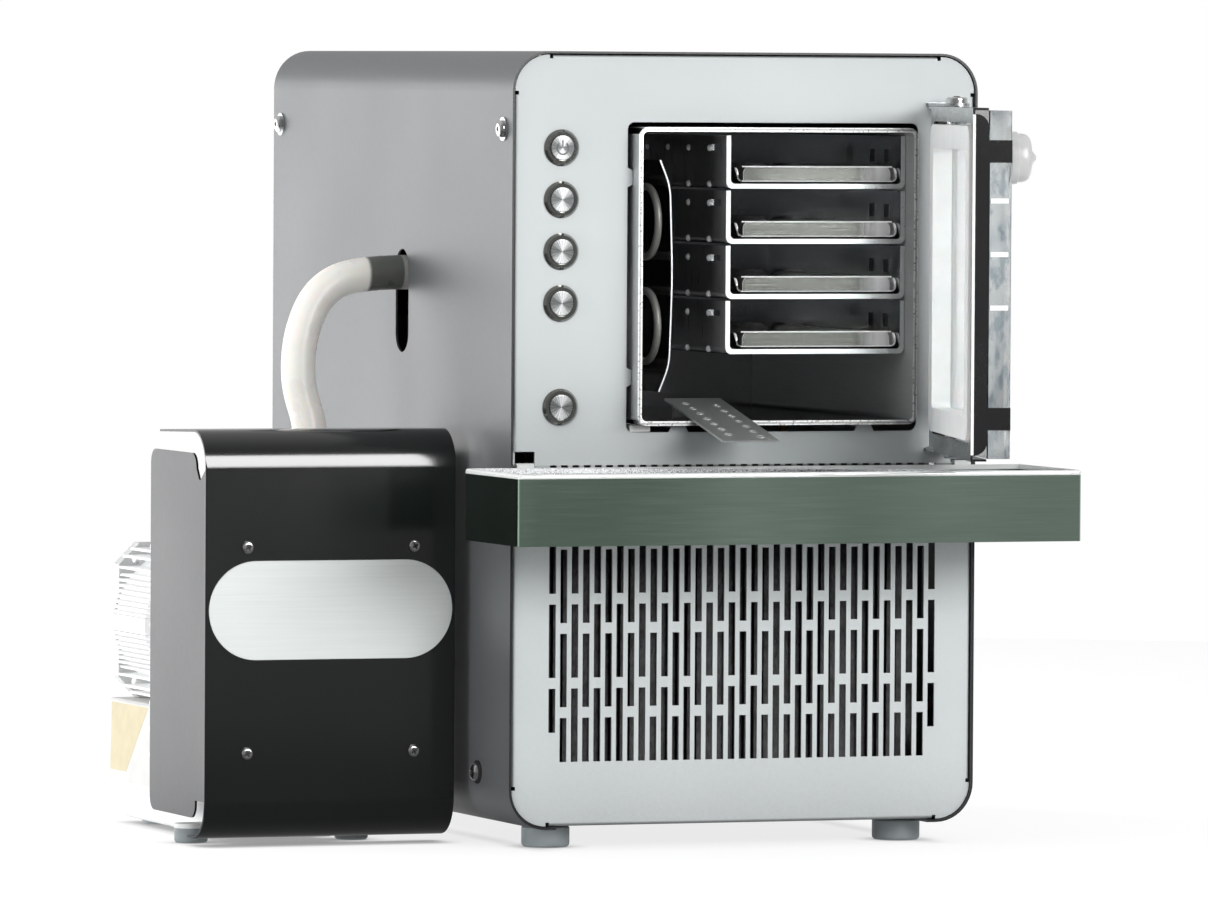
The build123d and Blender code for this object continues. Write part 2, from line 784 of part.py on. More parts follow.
with BuildPart() as coil_shield:
    # bowed sheet whose ends curl towards the chamber's left wall
    end_x = chamber_left + shield_end_reach
    bow_x = chamber_left + shield_reach - shield_bow
    bow_h = shield_half_h - shield_end_h
    with BuildSketch(facing_front(shield_front + shield_d)):
        with BuildLine():
            FilletPolyline((end_x, chamber_mid - shield_half_h), (bow_x, chamber_mid - bow_h),
                           (chamber_left + shield_reach, chamber_mid), (bow_x, chamber_mid + bow_h),
                           (end_x, chamber_mid + shield_half_h),
                           radius=[shield_end_r, 8 * bow_h, shield_end_r])
        trace(line_width=shield_t)
    extrude(amount=shield_d)
    # four straps from its ends to the wall
    foot_x = chamber_left + gap + shield_t / 2
    for depth in (shield_front + shield_d / 4, shield_front + shield_d * 3 / 4):
        with BuildSketch(facing_front(depth + shield_leg_w / 2)):
            for side in (-1, 1):
                end_h = chamber_mid + side * shield_half_h
                with BuildLine():
                    Line((foot_x, end_h + side * shield_leg_h), (end_x, end_h))
                trace(line_width=shield_t)
        extrude(amount=shield_leg_w)
finish(coil_shield, "coil_shield")

# the ramp's plane meets the chamber's front edge just above the floor
slope = math.radians(ramp_slope)
ramp_plane = Plane(origin=(cabinet_x + ramp_x, cabinet_y - chamber_proud, chamber_floor + gap),
                   x_dir=(1, 0, 0), z_dir=(0, -math.sin(slope), math.cos(slope)))

with BuildPart() as drain_ramp:
    with BuildSketch(ramp_plane):
        with Locations((0, -ramp_out)):
            RectangleRounded(ramp_w, ramp_out + ramp_in, 0.6, align=(Align.CENTER, Align.MIN))
        # the lower edge is scooped a little
        with Locations((0, -ramp_out - ramp_w)):
            Circle(ramp_w + 1.2, mode=Mode.SUBTRACT)
        for row in range(ramp_hole_rows):
            with Locations((ramp_w / 4, -ramp_out + 10 + row * ramp_hole_pitch),
                           (-ramp_w / 4, -ramp_out + 17 + row * ramp_hole_pitch)):
                Circle(ramp_hole_r, mode=Mode.SUBTRACT)
    extrude(amount=ramp_t)
finish(drain_ramp, "drain_ramp")

with BuildPart() as ramp_guide:
    # folded wedge on the chamber floor that carries the ramp
    guide_back = guide_front + guide_len
    low = chamber_floor + (guide_front + chamber_proud) * math.tan(slope)
    high = chamber_floor + (guide_back + chamber_proud) * math.tan(slope)
    with BuildSketch(facing_right(ramp_x - guide_w / 2)):
        with BuildLine():
            Polyline((guide_front, chamber_floor + gap / 2), (guide_front, low),
                     (guide_back, high), (guide_back, chamber_floor + gap / 2), close=True)
        make_face()
    extrude(amount=guide_w)
    with BuildSketch(facing_right(ramp_x - guide_w / 2 + ramp_t)):
        with BuildLine():
            Polyline((guide_front + ramp_t, chamber_floor), (guide_front + ramp_t, low - ramp_t),
                     (guide_back, high - ramp_t), (guide_back, chamber_floor), close=True)
        make_face()
    extrude(amount=guide_w - 2 * ramp_t, mode=Mode.SUBTRACT)
finish(ramp_guide, "ramp_guide")

with BuildPart() as drip_tray:
    drip_back = -drip_off
    with BuildSketch(facing_up(drip_top - drip_h)):
        with Locations((0, drip_back)):
            RectangleRounded(drip_w, drip_d, drip_corner_r, align=(Align.CENTER, Align.MAX))
    extrude(amount=drip_h)
    # the rim rolls over outwards
    fillet(drip_tray.faces().sort_by(Axis.Z)[-1].edges(), radius=drip_rim_r)
    with BuildSketch(facing_up(drip_top - drip_h + drip_t)):
        with Locations((0, drip_back - drip_t)):
            RectangleRounded(drip_w - 2 * drip_t, drip_d - 2 * drip_t, drip_corner_r - drip_t,
                             align=(Align.CENTER, Align.MAX))
    extrude(amount=drip_h, mode=Mode.SUBTRACT)
    # hem folded down inside the rim
    with BuildSketch(facing_up(drip_top - drip_hem)):
        with Locations((0, drip_back - drip_t)):
            RectangleRounded(drip_w - 2 * drip_t, drip_d - 2 * drip_t, drip_corner_r - drip_t,
                             align=(Align.CENTER, Align.MAX))
        with Locations((0, drip_back - 2 * drip_t)):
            Rectangle(drip_w - 4 * drip_t, drip_d - 4 * drip_t, align=(Align.CENTER, Align.MAX), mode=Mode.SUBTRACT)
    extrude(amount=drip_hem)
    # hooks that pass through the panel and turn down behind it
    hook_seat = hook_slot_low + gap
    hook_back = panel_depth + sheet + gap
    for side in (-1, 1):
        with BuildSketch(facing_right(side * hook_x - hook_w / 2)):
            with Locations((drip_back - drip_t, drip_top - drip_hem)):
                Rectangle(drip_t, hook_seat + drip_t - drip_top + drip_hem, align=(Align.MIN, Align.MIN))
            with Locations((drip_back - drip_t, hook_seat)):
                Rectangle(hook_back + 2 * drip_t - drip_back, drip_t, align=(Align.MIN, Align.MIN))
            with Locations((hook_back, hook_seat + drip_t)):
                Rectangle(drip_t, hook_leg, align=(Align.MIN, Align.MAX))
        extrude(amount=hook_w)
finish(drip_tray, "drip_tray")

# ---------------------------------------------------------------- door

with BuildPart() as door_frame:
    inner = -door_inner
    middle_h = (door_low + door_top) / 2
    seal_mid = hinge_x - chamber_x
    # face with its square window
    with BuildSketch(door_face(inner + sheet)):
        with Locations((door_edge, door_low)):
            Rectangle(door_w - door_edge, door_top - door_low, align=(Align.MIN, Align.MIN))
        with Locations((seal_mid, chamber_mid)):
            RectangleRounded(seal_w + seal_clear, seal_h + 2 * seal_clear, seal_r, mode=Mode.SUBTRACT)
    extrude(amount=sheet)
    # flanges above and below, with an ear round each pivot
    for height in (door_low, door_top - sheet):
        with BuildSketch(door_level(height)):
            with Locations((door_edge, inner)):
                Rectangle(door_w - door_edge - 2 * sheet, door_flange, align=(Align.MIN, Align.MIN))
            with Locations((0, 0)):
                Circle(ear_r)
            with Locations((-ear_r, inner)):
                Rectangle(2 * ear_r, door_inner, align=(Align.MIN, Align.MIN))
            with Locations((0, 0)):
                Circle(pivot_r + running, mode=Mode.SUBTRACT)
        extrude(amount=sheet)
    # flange along the hinge side
    with BuildSketch(door_level(door_low)):
        with Locations((door_edge, inner)):
            Rectangle(sheet, door_flange, align=(Align.MIN, Align.MIN))
    extrude(amount=door_top - door_low)
    # black flange along the free edge, with rounded corners and two tabs that grip the pane
    free_edge = door_level(middle_h).from_local_coords((door_w - sheet, inner, 0))
    with BuildSketch(Plane(origin=free_edge, x_dir=door_out, z_dir=door_along)):
        RectangleRounded(2 * door_flange, door_top - door_low - 8, door_corner_r)
        Rectangle(door_flange, door_top - door_low, align=(Align.MAX, Align.CENTER), mode=Mode.SUBTRACT)
        for low in (grip_low, grip_high):
            with Locations((0, low - middle_h)):
                Rectangle(door_flange + pane_t, grip_h, align=(Align.MIN, Align.MIN))
    extrude(amount=sheet)
finish(door_frame, "door_frame")

with BuildPart() as door_pane:
    pane_in = door_flange - door_inner
    pane_end = door_w - sheet
    with BuildSketch(door_face(pane_in + pane_t)):
        with Locations((pane_start, door_low + sheet + gap)):
            Rectangle(pane_end - pane_start, door_top - door_low - 2 * (sheet + gap), align=(Align.MIN, Align.MIN))
    extrude(amount=pane_t)
    chamfer(door_pane.edges().filter_by(Axis.Z), length=0.8)
finish(door_pane, "door_pane")

with BuildPart() as door_seal:
    with BuildSketch(door_face(pane_in)):
        with Locations((seal_mid, chamber_mid)):
            RectangleRounded(seal_w, seal_h, seal_r)
            RectangleRounded(seal_w - 2 * seal_band, seal_h - 2 * seal_band, seal_r / 2, mode=Mode.SUBTRACT)
    extrude(amount=door_flange + seal_stand)
finish(door_seal, "door_seal")

with BuildPart() as door_knob:
    with BuildSketch(door_level(knob_h)):
        with BuildLine():
            base_out = pane_in + pane_t
            body_out = base_out + knob_base_t + knob_body_t
            Polyline((knob_along, base_out), (knob_along + knob_r - 1, base_out),
                     (knob_along + knob_r, base_out + 1), (knob_along + knob_r, base_out + knob_base_t),
                     (knob_along + knob_r - 1.2, base_out + knob_base_t + 0.6))
            Spline((knob_along + knob_r - 1.2, base_out + knob_base_t + 0.6),
                   (knob_along + knob_r - 2.2, body_out - 3), (knob_along + 6, body_out),
                   tangents=[(0, 1), (-1, 0)])
            Polyline((knob_along + 6, body_out), (knob_along + 2.5, body_out + knob_nose_t - 0.8),
                     (knob_along + 1.5, body_out + knob_nose_t), (knob_along, body_out + knob_nose_t),
                     (knob_along, base_out))
        make_face()
    revolve(axis=Axis(door_level(knob_h).from_local_coords((knob_along, 0, 0)), door_out))
finish(door_knob, "door_knob")

with BuildPart() as hinge_brackets:
    leg_depth = panel_depth + sheet
    for height, up in ((door_top + gap, 1), (door_low - gap, -1)):
        with BuildSketch(facing_up(height)):
            with Locations((hinge_x, hinge_y)):
                Circle(bracket_w / 2)
                Rectangle(bracket_w, leg_depth + bracket_t - hinge_y, align=(Align.CENTER, Align.MIN))
                Circle(pivot_r + gap / 2, mode=Mode.SUBTRACT)
        extrude(amount=up * bracket_t)
        # leg turned along the back of the panel
        with BuildSketch(facing_front(leg_depth + bracket_t)):
            with Locations((hinge_x, height)):
                Rectangle(bracket_w, bracket_leg, align=(Align.CENTER, Align.MIN if up > 0 else Align.MAX))
        extrude(amount=bracket_t)
finish(hinge_brackets, "hinge_brackets")

with BuildPart() as pivot_screws:
    for height, up in ((door_top + gap + bracket_t, 1), (door_low - gap - bracket_t, -1)):
        with BuildSketch(facing_up(height)):
            with Locations((hinge_x, hinge_y)):
                Circle(pivot_head_r)
        extrude(amount=up * pivot_head_h)
        fillet(pivot_screws.edges().group_by(Axis.Z)[-1 if up > 0 else 0], radius=1.6)
        with BuildSketch(facing_up(height)):
            with Locations((hinge_x, hinge_y)):
                Circle(pivot_r)
        extrude(amount=-up * (bracket_t + gap + sheet + pivot_reach))
finish(pivot_screws, "pivot_screws")

# ---------------------------------------------------------------- push buttons

with BuildPart() as button_bezels:
    with BuildSketch(facing_front(panel_depth)):
        with Locations(*button_spots):
            Circle(bezel_r)
    extrude(amount=bezel_proud)
    chamfer(button_bezels.edges().group_by(Axis.Y)[0], length=1.5)
    with BuildSketch(facing_front(panel_depth)):
        with Locations(*button_spots):
            Circle(barrel_r)
    extrude(amount=-barrel_len)
    # well for the cap, deep enough for its travel
    well = cap_proud + cap_t + cap_stem_len + button_travel + gap
    with BuildSketch(facing_front(panel_depth - bezel_proud)):
        with Locations(*button_spots):
            Circle(cap_r + gap)
    extrude(amount=-well, mode=Mode.SUBTRACT)
    # nuts behind the panel
    with BuildSketch(facing_front(panel_depth + sheet + gap)):
        with Locations(*button_spots):
            RegularPolygon(nut_r, 6)
            Circle(cap_r + gap, mode=Mode.SUBTRACT)
    extrude(amount=-nut_t)
finish(button_bezels, "button_bezels")

for number, height in enumerate(button_heights):
    with BuildPart() as button_cap:
        cap_face = panel_depth - bezel_proud - cap_proud
        with BuildSketch(facing_front(cap_face)):
            with Locations((button_x, height)):
                Circle(cap_r)
        extrude(amount=-cap_t)
        fillet(button_cap.edges().group_by(Axis.Y)[0], radius=0.6)
        with BuildSketch(facing_front(cap_face + cap_t)):
            with Locations((button_x, height)):
                Circle(cap_stem_r)
        extrude(amount=-(cap_stem_len + cap_proud))
    finish(button_cap, f"button_cap_{number + 1}")

with BuildPart() as control_board:
    # board behind the buttons, with the modules that face back
    board_face = panel_depth + barrel_len + gap
    board_mid = (button_heights[0] + button_heights[-1]) / 2
    board_h = button_heights[0] - button_heights[-1] + 30
    with BuildSketch(facing_front(board_face)):
        with Locations((button_x, board_mid)):
            Rectangle(46, board_h)
            with GridLocations(38, board_h - 8, 2, 2):
                Circle(1.6, mode=Mode.SUBTRACT)
    extrude(amount=-1.6)
    with BuildSketch(facing_front(board_face + 1.6)):
        with Locations((button_x, board_mid + 60)):
            Rectangle(24, 30)
        with Locations((button_x - 8, board_mid), (button_x + 10, board_mid - 2)):
            Rectangle(12, 26)
        with Locations((button_x, board_mid - 62)):
            Rectangle(30, 20)
    extrude(amount=-11)
finish(control_board, "control_board")

# ---------------------------------------------------------------- cooling circuit

core_back = core_front + core_t

with BuildPart() as condenser_core:
    with BuildSketch(facing_front(core_back)):
        with Locations((0, core_low)):
            Rectangle(core_w, core_h, align=(Align.CENTER, Align.MIN))
    extrude(amount=core_t)
    # gaps between the fins, front and back
    fin_count = int(core_w // fin_pitch)
    for face_depth, into in ((core_front, -1), (core_back, 1)):
        with BuildSketch(facing_front(face_depth)):
            with Locations((0, core_low + core_h / 2)):
                with GridLocations(fin_pitch, 0, fin_count, 1):
                    Rectangle(fin_groove, core_h)
        extrude(amount=into * fin_groove_d, mode=Mode.SUBTRACT)
    # end plates that stand on the base
    with BuildSketch(facing_front(core_back)):
        with Locations((0, base_top)):
            with GridLocations(core_w + core_plate_t, 0, 2, 1):
                Rectangle(core_plate_t, core_low + core_h - base_top, align=(Align.CENTER, Align.MIN))
    extrude(amount=core_t)
finish(condenser_core, "condenser_core")

with BuildPart() as fan_shroud:
    with BuildSketch(facing_front(core_back + gap + shroud_t)):
        with Locations((0, fan_mid)):
            Rectangle(core_w, shroud_h)
            Circle(fan_r + fan_clear, mode=Mode.SUBTRACT)
    extrude(amount=shroud_t)
    collar_end = core_back + gap + shroud_t + fan_collar
    with BuildSketch(facing_front(collar_end)):
        with Locations((0, fan_mid)):
            Circle(fan_r + fan_clear + shroud_t)
            Circle(fan_r + fan_clear, mode=Mode.SUBTRACT)
    extrude(amount=fan_collar + shroud_t)
    # ring and arms that carry the fan's motor
    motor_seat = collar_end + fan_arm_t
    arm_out = fan_r + fan_clear + shroud_t
    with BuildSketch(facing_front(motor_seat)):
        with Locations((0, fan_mid)):
            Circle(fan_motor_r)
            with PolarLocations((arm_out + fan_shaft_r) / 2, 3, start_angle=30):
                Rectangle(arm_out - fan_shaft_r, fan_arm_w)
            Circle(fan_shaft_r + 4, mode=Mode.SUBTRACT)
    extrude(amount=fan_arm_t)
finish(fan_shroud, "fan_shroud")

fan_depth = (core_back + gap + shroud_t + collar_end) / 2
fan_centre = facing_front(fan_depth).from_local_coords((0, fan_mid, 0))
fan_axis = Axis(fan_centre, (0, 1, 0))

with BuildPart() as fan_blade:
    for reach, chord, pitch in ((fan_hub_r - 2, fan_root_chord, fan_root_pitch), (fan_r, fan_tip_chord, fan_tip_pitch)):
        with BuildSketch(facing_right(reach)):
            with Locations((fan_depth, fan_mid)):
                Rectangle(fan_blade_t, chord, rotation=pitch)
    loft()

with BuildPart() as condenser_fan:
    with BuildSketch(facing_front(fan_depth + fan_hub_t / 2)):
        with Locations((0, fan_mid)):
            Circle(fan_hub_r)
    extrude(amount=fan_hub_t)
    fillet(condenser_fan.edges().group_by(Axis.Y)[0], radius=3)
    with BuildSketch(facing_front(fan_depth)):
        with Locations((0, fan_mid)):
            Circle(fan_shaft_r)
    extrude(amount=fan_depth - motor_seat - fan_shaft_in)
    for turn in range(fan_blades):
        add(fan_blade.part.rotate(fan_axis, turn * 360 / fan_blades))
finish(condenser_fan, "condenser_fan")

with BuildPart() as fan_motor:
    with BuildSketch(facing_front(motor_seat)):
        with Locations((0, fan_mid)):
            Circle(fan_motor_r)
    extrude(amount=-fan_motor_len)
    fillet(fan_motor.edges().group_by(Axis.Y)[-1], radius=5)
    with BuildSketch(facing_front(motor_seat)):
        with Locations((0, fan_mid)):
            Circle(fan_shaft_r + running)
    extrude(amount=-(fan_shaft_in + gap), mode=Mode.SUBTRACT)
finish(fan_motor, "fan_motor")

comp_base = base_top + comp_mount_h
comp_low = comp_base + comp_base_t
comp_top = comp_low + comp_h
mount_reach = comp_base_w / 2 - comp_mount_r - 2

with BuildPart() as compressor:
    # welded can with a seam round its middle, on a square foot plate
    can_centre = facing_up(0).from_local_coords((comp_x, comp_d, 0))
    with BuildSketch(Plane(origin=can_centre, x_dir=(1, 0, 0), z_dir=(0, -1, 0))):
        with BuildLine():
            Line((0, comp_low), (comp_r - comp_bottom_r, comp_low))
            RadiusArc((comp_r - comp_bottom_r, comp_low), (comp_r, comp_low + comp_bottom_r), -comp_bottom_r)
            Line((comp_r, comp_low + comp_bottom_r), (comp_r, comp_top - comp_dome_r))
            RadiusArc((comp_r, comp_top - comp_dome_r), (comp_r - comp_dome_r, comp_top), -comp_dome_r)
            Line((comp_r - comp_dome_r, comp_top), (0, comp_top))
            Line((0, comp_top), (0, comp_low))
        make_face()
        with Locations((0, comp_low + comp_h * 0.55)):
            Rectangle(comp_r + 3, 4, align=(Align.MIN, Align.CENTER))
    revolve(axis=Axis(can_centre, (0, 0, 1)))
    with BuildSketch(facing_up(comp_base)):
        with Locations((comp_x, comp_d)):
            RectangleRounded(comp_base_w, comp_base_w, 14)
            with GridLocations(2 * mount_reach, 2 * mount_reach, 2, 2):
                Circle(4.0, mode=Mode.SUBTRACT)
    extrude(amount=comp_base_t)
    # terminal cover on the right side
    with BuildSketch(facing_right(comp_x)):
        with Locations((comp_d, comp_low + 62)):
            RectangleRounded(46, 50, 5)
    extrude(amount=comp_r + 22)
finish(compressor, "compressor")

with BuildPart() as compressor_mounts:
    with BuildSketch(facing_up(base_top)):
        with Locations((comp_x, comp_d)):
            with GridLocations(2 * mount_reach, 2 * mount_reach, 2, 2):
                Circle(comp_mount_r)
    extrude(amount=comp_mount_h)
    with BuildSketch(facing_up(base_top + comp_mount_h / 2 - 1.5)):
        with Locations((comp_x, comp_d)):
            with GridLocations(2 * mount_reach, 2 * mount_reach, 2, 2):
                Circle(comp_mount_r + 1)
                Circle(comp_mount_r - 1.5, mode=Mode.SUBTRACT)
    extrude(amount=3, mode=Mode.SUBTRACT)
finish(compressor_mounts, "compressor_mounts")

line_side = cabinet_w / 2 - sheet - drier_r - 2.5
line_end = core_w / 2 + core_plate_t + gap
core_mid_d = (core_front + core_back) / 2
feed_d = coil_end + 16
suction_d = coil_end + (comp_d - coil_end) * 0.3
suction_h = comp_top + 34
line_routes = {
    "discharge": [(comp_x - comp_r - gap, comp_d, 150), (-line_side, comp_d, 150),
                  (-line_side, core_mid_d, 150), (-line_end, core_mid_d, 150)],
    "liquid": [(line_end, core_mid_d, drier_z), (line_side, core_mid_d, drier_z),
               (line_side, drier_front - gap, drier_z)],
    "feed": [(line_side, drier_front + drier_len + gap, drier_z), (line_side, feed_d, drier_z),
             (line_side, feed_d, coil_low_h), (coil_x, feed_d, coil_low_h), (coil_x, coil_end + gap, coil_low_h)],
    "suction": [(coil_x, coil_end + gap, coil_top_h), (coil_x, suction_d, coil_top_h),
                (coil_x, suction_d, suction_h), (coil_x, comp_d, suction_h), (coil_x, comp_d, comp_top + gap)],
}

with BuildPart() as refrigerant_lines:
    for route in line_routes.values():
        points = [Vector(cabinet_x + across, cabinet_y + depth, height) for across, depth, height in route]
        with BuildLine() as line_path:
            FilletPolyline(*points, radius=line_bend_r)
        with BuildSketch(Plane(origin=points[0], z_dir=points[1] - points[0])):
            Circle(line_r)
        sweep(path=line_path.line)
finish(refrigerant_lines, "refrigerant_lines")

with BuildPart() as filter_drier:
    drier_start = facing_up(drier_z).from_local_coords((line_side, drier_front, 0))
    with BuildSketch(Plane(origin=drier_start, x_dir=(1, 0, 0), z_dir=(0, 0, 1))):
        with BuildLine():
            Polyline((0, 0), (line_r, 0), (line_r, 8), (drier_r, 20), (drier_r, drier_len - 20),
                     (line_r, drier_len - 8), (line_r, drier_len), (0, drier_len), close=True)
        make_face()
    revolve(axis=Axis(drier_start, (0, 1, 0)))
finish(filter_drier, "filter_drier")

# ---------------------------------------------------------------- electrical parts in the cabinet

with BuildPart() as power_supply:
    with BuildSketch(facing_up(base_top)):
        with Locations((supply_x, supply_y)):
            Rectangle(supply_w, supply_d)
    extrude(amount=supply_h)
    chamfer(power_supply.edges().filter_by(Axis.Z), length=2)
    with BuildSketch(facing_up(base_top + supply_h)):
        with Locations((supply_x, supply_y)):
            with GridLocations(0, 12, 1, 8):
                Rectangle(supply_w - 16, 5)
    extrude(amount=-4, mode=Mode.SUBTRACT)
finish(power_supply, "power_supply")


def mains_inlet(depth, across, height):
    """Flanged three-pin inlet whose flange lies on a rear face at the given depth."""
    face = Plane(origin=facing_front(depth).from_local_coords((across, height, 0)), x_dir=(-1, 0, 0), z_dir=(0, 1, 0))
    with BuildPart() as inlet:
        with BuildSketch(face):
            RectangleRounded(inlet_w, inlet_h, 3)
            with GridLocations(inlet_w - 8, 0, 2, 1):
                Circle(1.8, mode=Mode.SUBTRACT)
        extrude(amount=inlet_flange_t)
        with BuildSketch(face):
            Rectangle(inlet_hole_w - 2 * gap, inlet_hole_h - 2 * gap)
        extrude(amount=-inlet_len)
        with BuildSketch(face.offset(inlet_flange_t)):
            RectangleRounded(inlet_hole_w - 4, inlet_hole_h - 4, 2)
        extrude(amount=-inlet_len, mode=Mode.SUBTRACT)
        with BuildSketch(face.offset(-inlet_len)):
            with Locations((-7, -1.5), (0, 2.5), (7, -1.5)):
                Rectangle(2, 4)
        extrude(amount=inlet_len - 6)
    return inlet


# ---------------------------------------------------------------- hose

# places across and back, each with its share of the rise from the barb to the port
hose_route = [(-162, 226, 1.0), (-206, 226, 1.0), (-230.3, 225, 0.91), (-244, 223, 0.753), (-246, 220.5, 0.55),
              (-239.5, 217.5, 0.34), (barb_x, barb_d, 0.157), (barb_x, barb_d, 0.0)]
hose_points = [Vector(cabinet_x + across, cabinet_y + depth, hose_end + share * (hose_z - hose_end))
               for across, depth, share in hose_route]
hose_radii = []
for before, corner, after in zip(hose_points, hose_points[1:], hose_points[2:]):
    turn = math.radians((corner - before).get_angle(after - corner))
    shorter = min((corner - before).length, (after - corner).length)
    hose_radii.append(0.45 * shorter / math.tan(turn / 2))
print("hose radii", [round(radius) for radius in hose_radii])

with BuildPart() as vacuum_hose:
    with BuildLine() as hose_path:
        FilletPolyline(*hose_points, radius=hose_radii)
    with BuildSketch(Plane(origin=hose_points[0], z_dir=hose_points[1] - hose_points[0])):
        Circle(hose_r)
    sweep(path=hose_path.line)
hose_length = sum(edge.length for edge in hose_path.edges())
print("hose length", round(hose_length, 1))
print("hose volume ratio", round(vacuum_hose.part.volume / (math.pi * hose_r ** 2 * hose_length), 4))
finish(vacuum_hose, "vacuum_hose")

# ---------------------------------------------------------------- vacuum pump

with BuildPart() as pump_cover:
    half = sheet / 2
    with BuildSketch(facing_right(cover_x - cover_w / 2)):
        with BuildLine():
            FilletPolyline((cover_back, cover_top - cover_top_fall - half), (cover_front + half, cover_top - half),
                           (cover_front + half, cover_low + half), (cover_lip_back, cover_low + half),
                           radius=cover_r - half)
        trace(line_width=sheet)
    extrude(amount=cover_w)
    # side flanges, each joined to the front by a neck with a notch in its upper end
    neck_low = cover_low + cover_r + gap
    neck_high = cover_flange_top - cover_notch_h
    neck_outline = [(cover_front + back, neck_high + rise) for back, rise in cover_notch]
    neck_outline += [(cover_front + cover_notch[-1][0], neck_low), (cover_front, neck_low)]
    for side in (-1, 1):
        with BuildSketch(facing_right(cover_x + side * cover_w / 2)):
            with Locations((cover_front + cover_neck, cover_flange_low)):
                Rectangle(cover_flange_back - cover_front - cover_neck, cover_flange_top - cover_flange_low,
                          align=(Align.MIN, Align.MIN))
            fillet(vertices(), radius=cover_flange_r)
            Polygon(*neck_outline, align=None)
        extrude(amount=-side * sheet)
    folds = pump_cover.edges().filter_by(Axis.Z).group_by(Axis.Y)[0]
    fillet(folds.filter_by(lambda edge: edge.length > cover_r), radius=1.2)
    with BuildSketch(facing_front(cover_front + sheet)):
        with Locations((cover_x, (cover_screw_low + cover_screw_high) / 2)):
            with GridLocations(2 * cover_screw_dx, cover_screw_high - cover_screw_low, 2, 2):
                Circle(cover_screw_hole_r)
    extrude(amount=sheet, mode=Mode.SUBTRACT)
finish(pump_cover, "pump_cover")

with BuildPart() as cover_badge:
    with BuildSketch(facing_front(cover_front)):
        with Locations((cover_x, badge_mid)):
            SlotOverall(badge_w, badge_h)
    extrude(amount=badge_t)
    chamfer(cover_badge.edges().group_by(Axis.Y)[0], length=0.3)
finish(cover_badge, "cover_badge")

bracket_back = cover_front + sheet + 2.5

with BuildPart() as cover_screws:
    with BuildSketch(facing_front(cover_front)):
        with Locations((cover_x, (cover_screw_low + cover_screw_high) / 2)):
            with GridLocations(2 * cover_screw_dx, cover_screw_high - cover_screw_low, 2, 2):
                Circle(cover_screw_head_r)
    extrude(amount=cover_screw_head_h)
    fillet(cover_screws.edges().group_by(Axis.Y)[0], radius=1.6)
    with BuildSketch(facing_front(cover_front)):
        with Locations((cover_x, (cover_screw_low + cover_screw_high) / 2)):
            with GridLocations(2 * cover_screw_dx, cover_screw_high - cover_screw_low, 2, 2):
                Circle(cover_screw_r)
    extrude(amount=-(bracket_back - cover_front + 4))
finish(cover_screws, "cover_screws")

with BuildPart() as cover_bracket:
    # top-hat plate between the cover and the pump's oil case
    hat_w = 2 * cover_screw_dx + 18
    hat_h = cover_screw_high - cover_screw_low + 20
    hat_mid = (cover_screw_low + cover_screw_high) / 2
    with BuildSketch(facing_front(bracket_back)):
        with Locations((cover_x, hat_mid)):
            RectangleRounded(hat_w, hat_h, 4)
            RectangleRounded(hat_w / 2, hat_h * 0.45, 8, mode=Mode.SUBTRACT)
            with GridLocations(2 * cover_screw_dx, cover_screw_high - cover_screw_low, 2, 2):
                Circle(cover_screw_r + gap, mode=Mode.SUBTRACT)
    extrude(amount=bracket_back - cover_front - sheet)
    with BuildSketch(facing_front(case_front)):
        with Locations((pump_x - case_w / 2 + 12, hat_mid), (pump_x + case_w / 2 - 8, hat_mid)):
            Rectangle(2.5, hat_h - 30)
    extrude(amount=case_front - bracket_back)
finish(cover_bracket, "cover_bracket")

with BuildPart() as pump_feet:
    # tall feet in front, and flat pads under the rear of the base
    with BuildSketch(facing_up(0)):
        with Locations((pump_x - pump_foot_dx, pump_foot_front), (pump_x + pump_foot_dx, pump_foot_front)):
            Circle(pump_foot_r)
    extrude(amount=pump_foot_h)
    with BuildSketch(facing_up(0)):
        with Locations((pump_x - pump_pad_dx, pump_pad_rear), (pump_x + pump_pad_dx, pump_pad_rear)):
            Circle(pump_foot_r)
    extrude(amount=pump_base_low)
    chamfer(pump_feet.edges().group_by(Axis.Z)[0], length=1.2)
finish(pump_feet, "pump_feet")

with BuildPart() as pump_base:
    # block under the oil case, with a skirt that reaches lower behind the cover's lip
    for front, low, high in ((pump_base_front, pump_foot_h, pump_base_top), (pump_skirt_front, pump_base_low, pump_foot_h)):
        with BuildSketch(facing_up(low)):
            with Locations((pump_x, front)):
                RectangleRounded(pump_base_w, pump_base_back - front, 6, align=(Align.CENTER, Align.MIN))
        extrude(amount=high - low)
    fillet(pump_base.edges().group_by(Axis.Z)[0], radius=pump_base_r)
    # strap over the front feet
    with BuildSketch(facing_up(pump_foot_h)):
        with Locations((pump_x, pump_foot_front)):
            SlotCenterToCenter(2 * pump_foot_dx, 2 * pump_foot_r)
    extrude(amount=pump_ear_t)
finish(pump_base, "pump_base")

filler_x = pump_x - 30
filler_d = case_front + 40
filler_neck_h = 6.0

with BuildPart() as oil_case:
    with BuildSketch(facing_up(pump_base_top)):
        with Locations((pump_x, case_front)):
            RectangleRounded(case_w, case_back - case_front, 10, align=(Align.CENTER, Align.MIN))
    extrude(amount=case_top - pump_base_top)
    fillet(oil_case.edges().group_by(Axis.Z)[-1], radius=6)
    # cooling ribs cast on both sides
    for side in (-1, 1):
        with BuildSketch(facing_right(pump_x + side * (case_w / 2 - 1))):
            with Locations(((case_front + case_back) / 2, (pump_base_top + case_top) / 2)):
                with GridLocations(0, 18, 1, 9):
                    Rectangle(case_back - case_front - 30, 3)
        extrude(amount=side * 4)
    with BuildSketch(facing_up(case_top)):
        with Locations((filler_x, filler_d)):
            Circle(13)
    extrude(amount=filler_neck_h)
finish(oil_case, "oil_case")

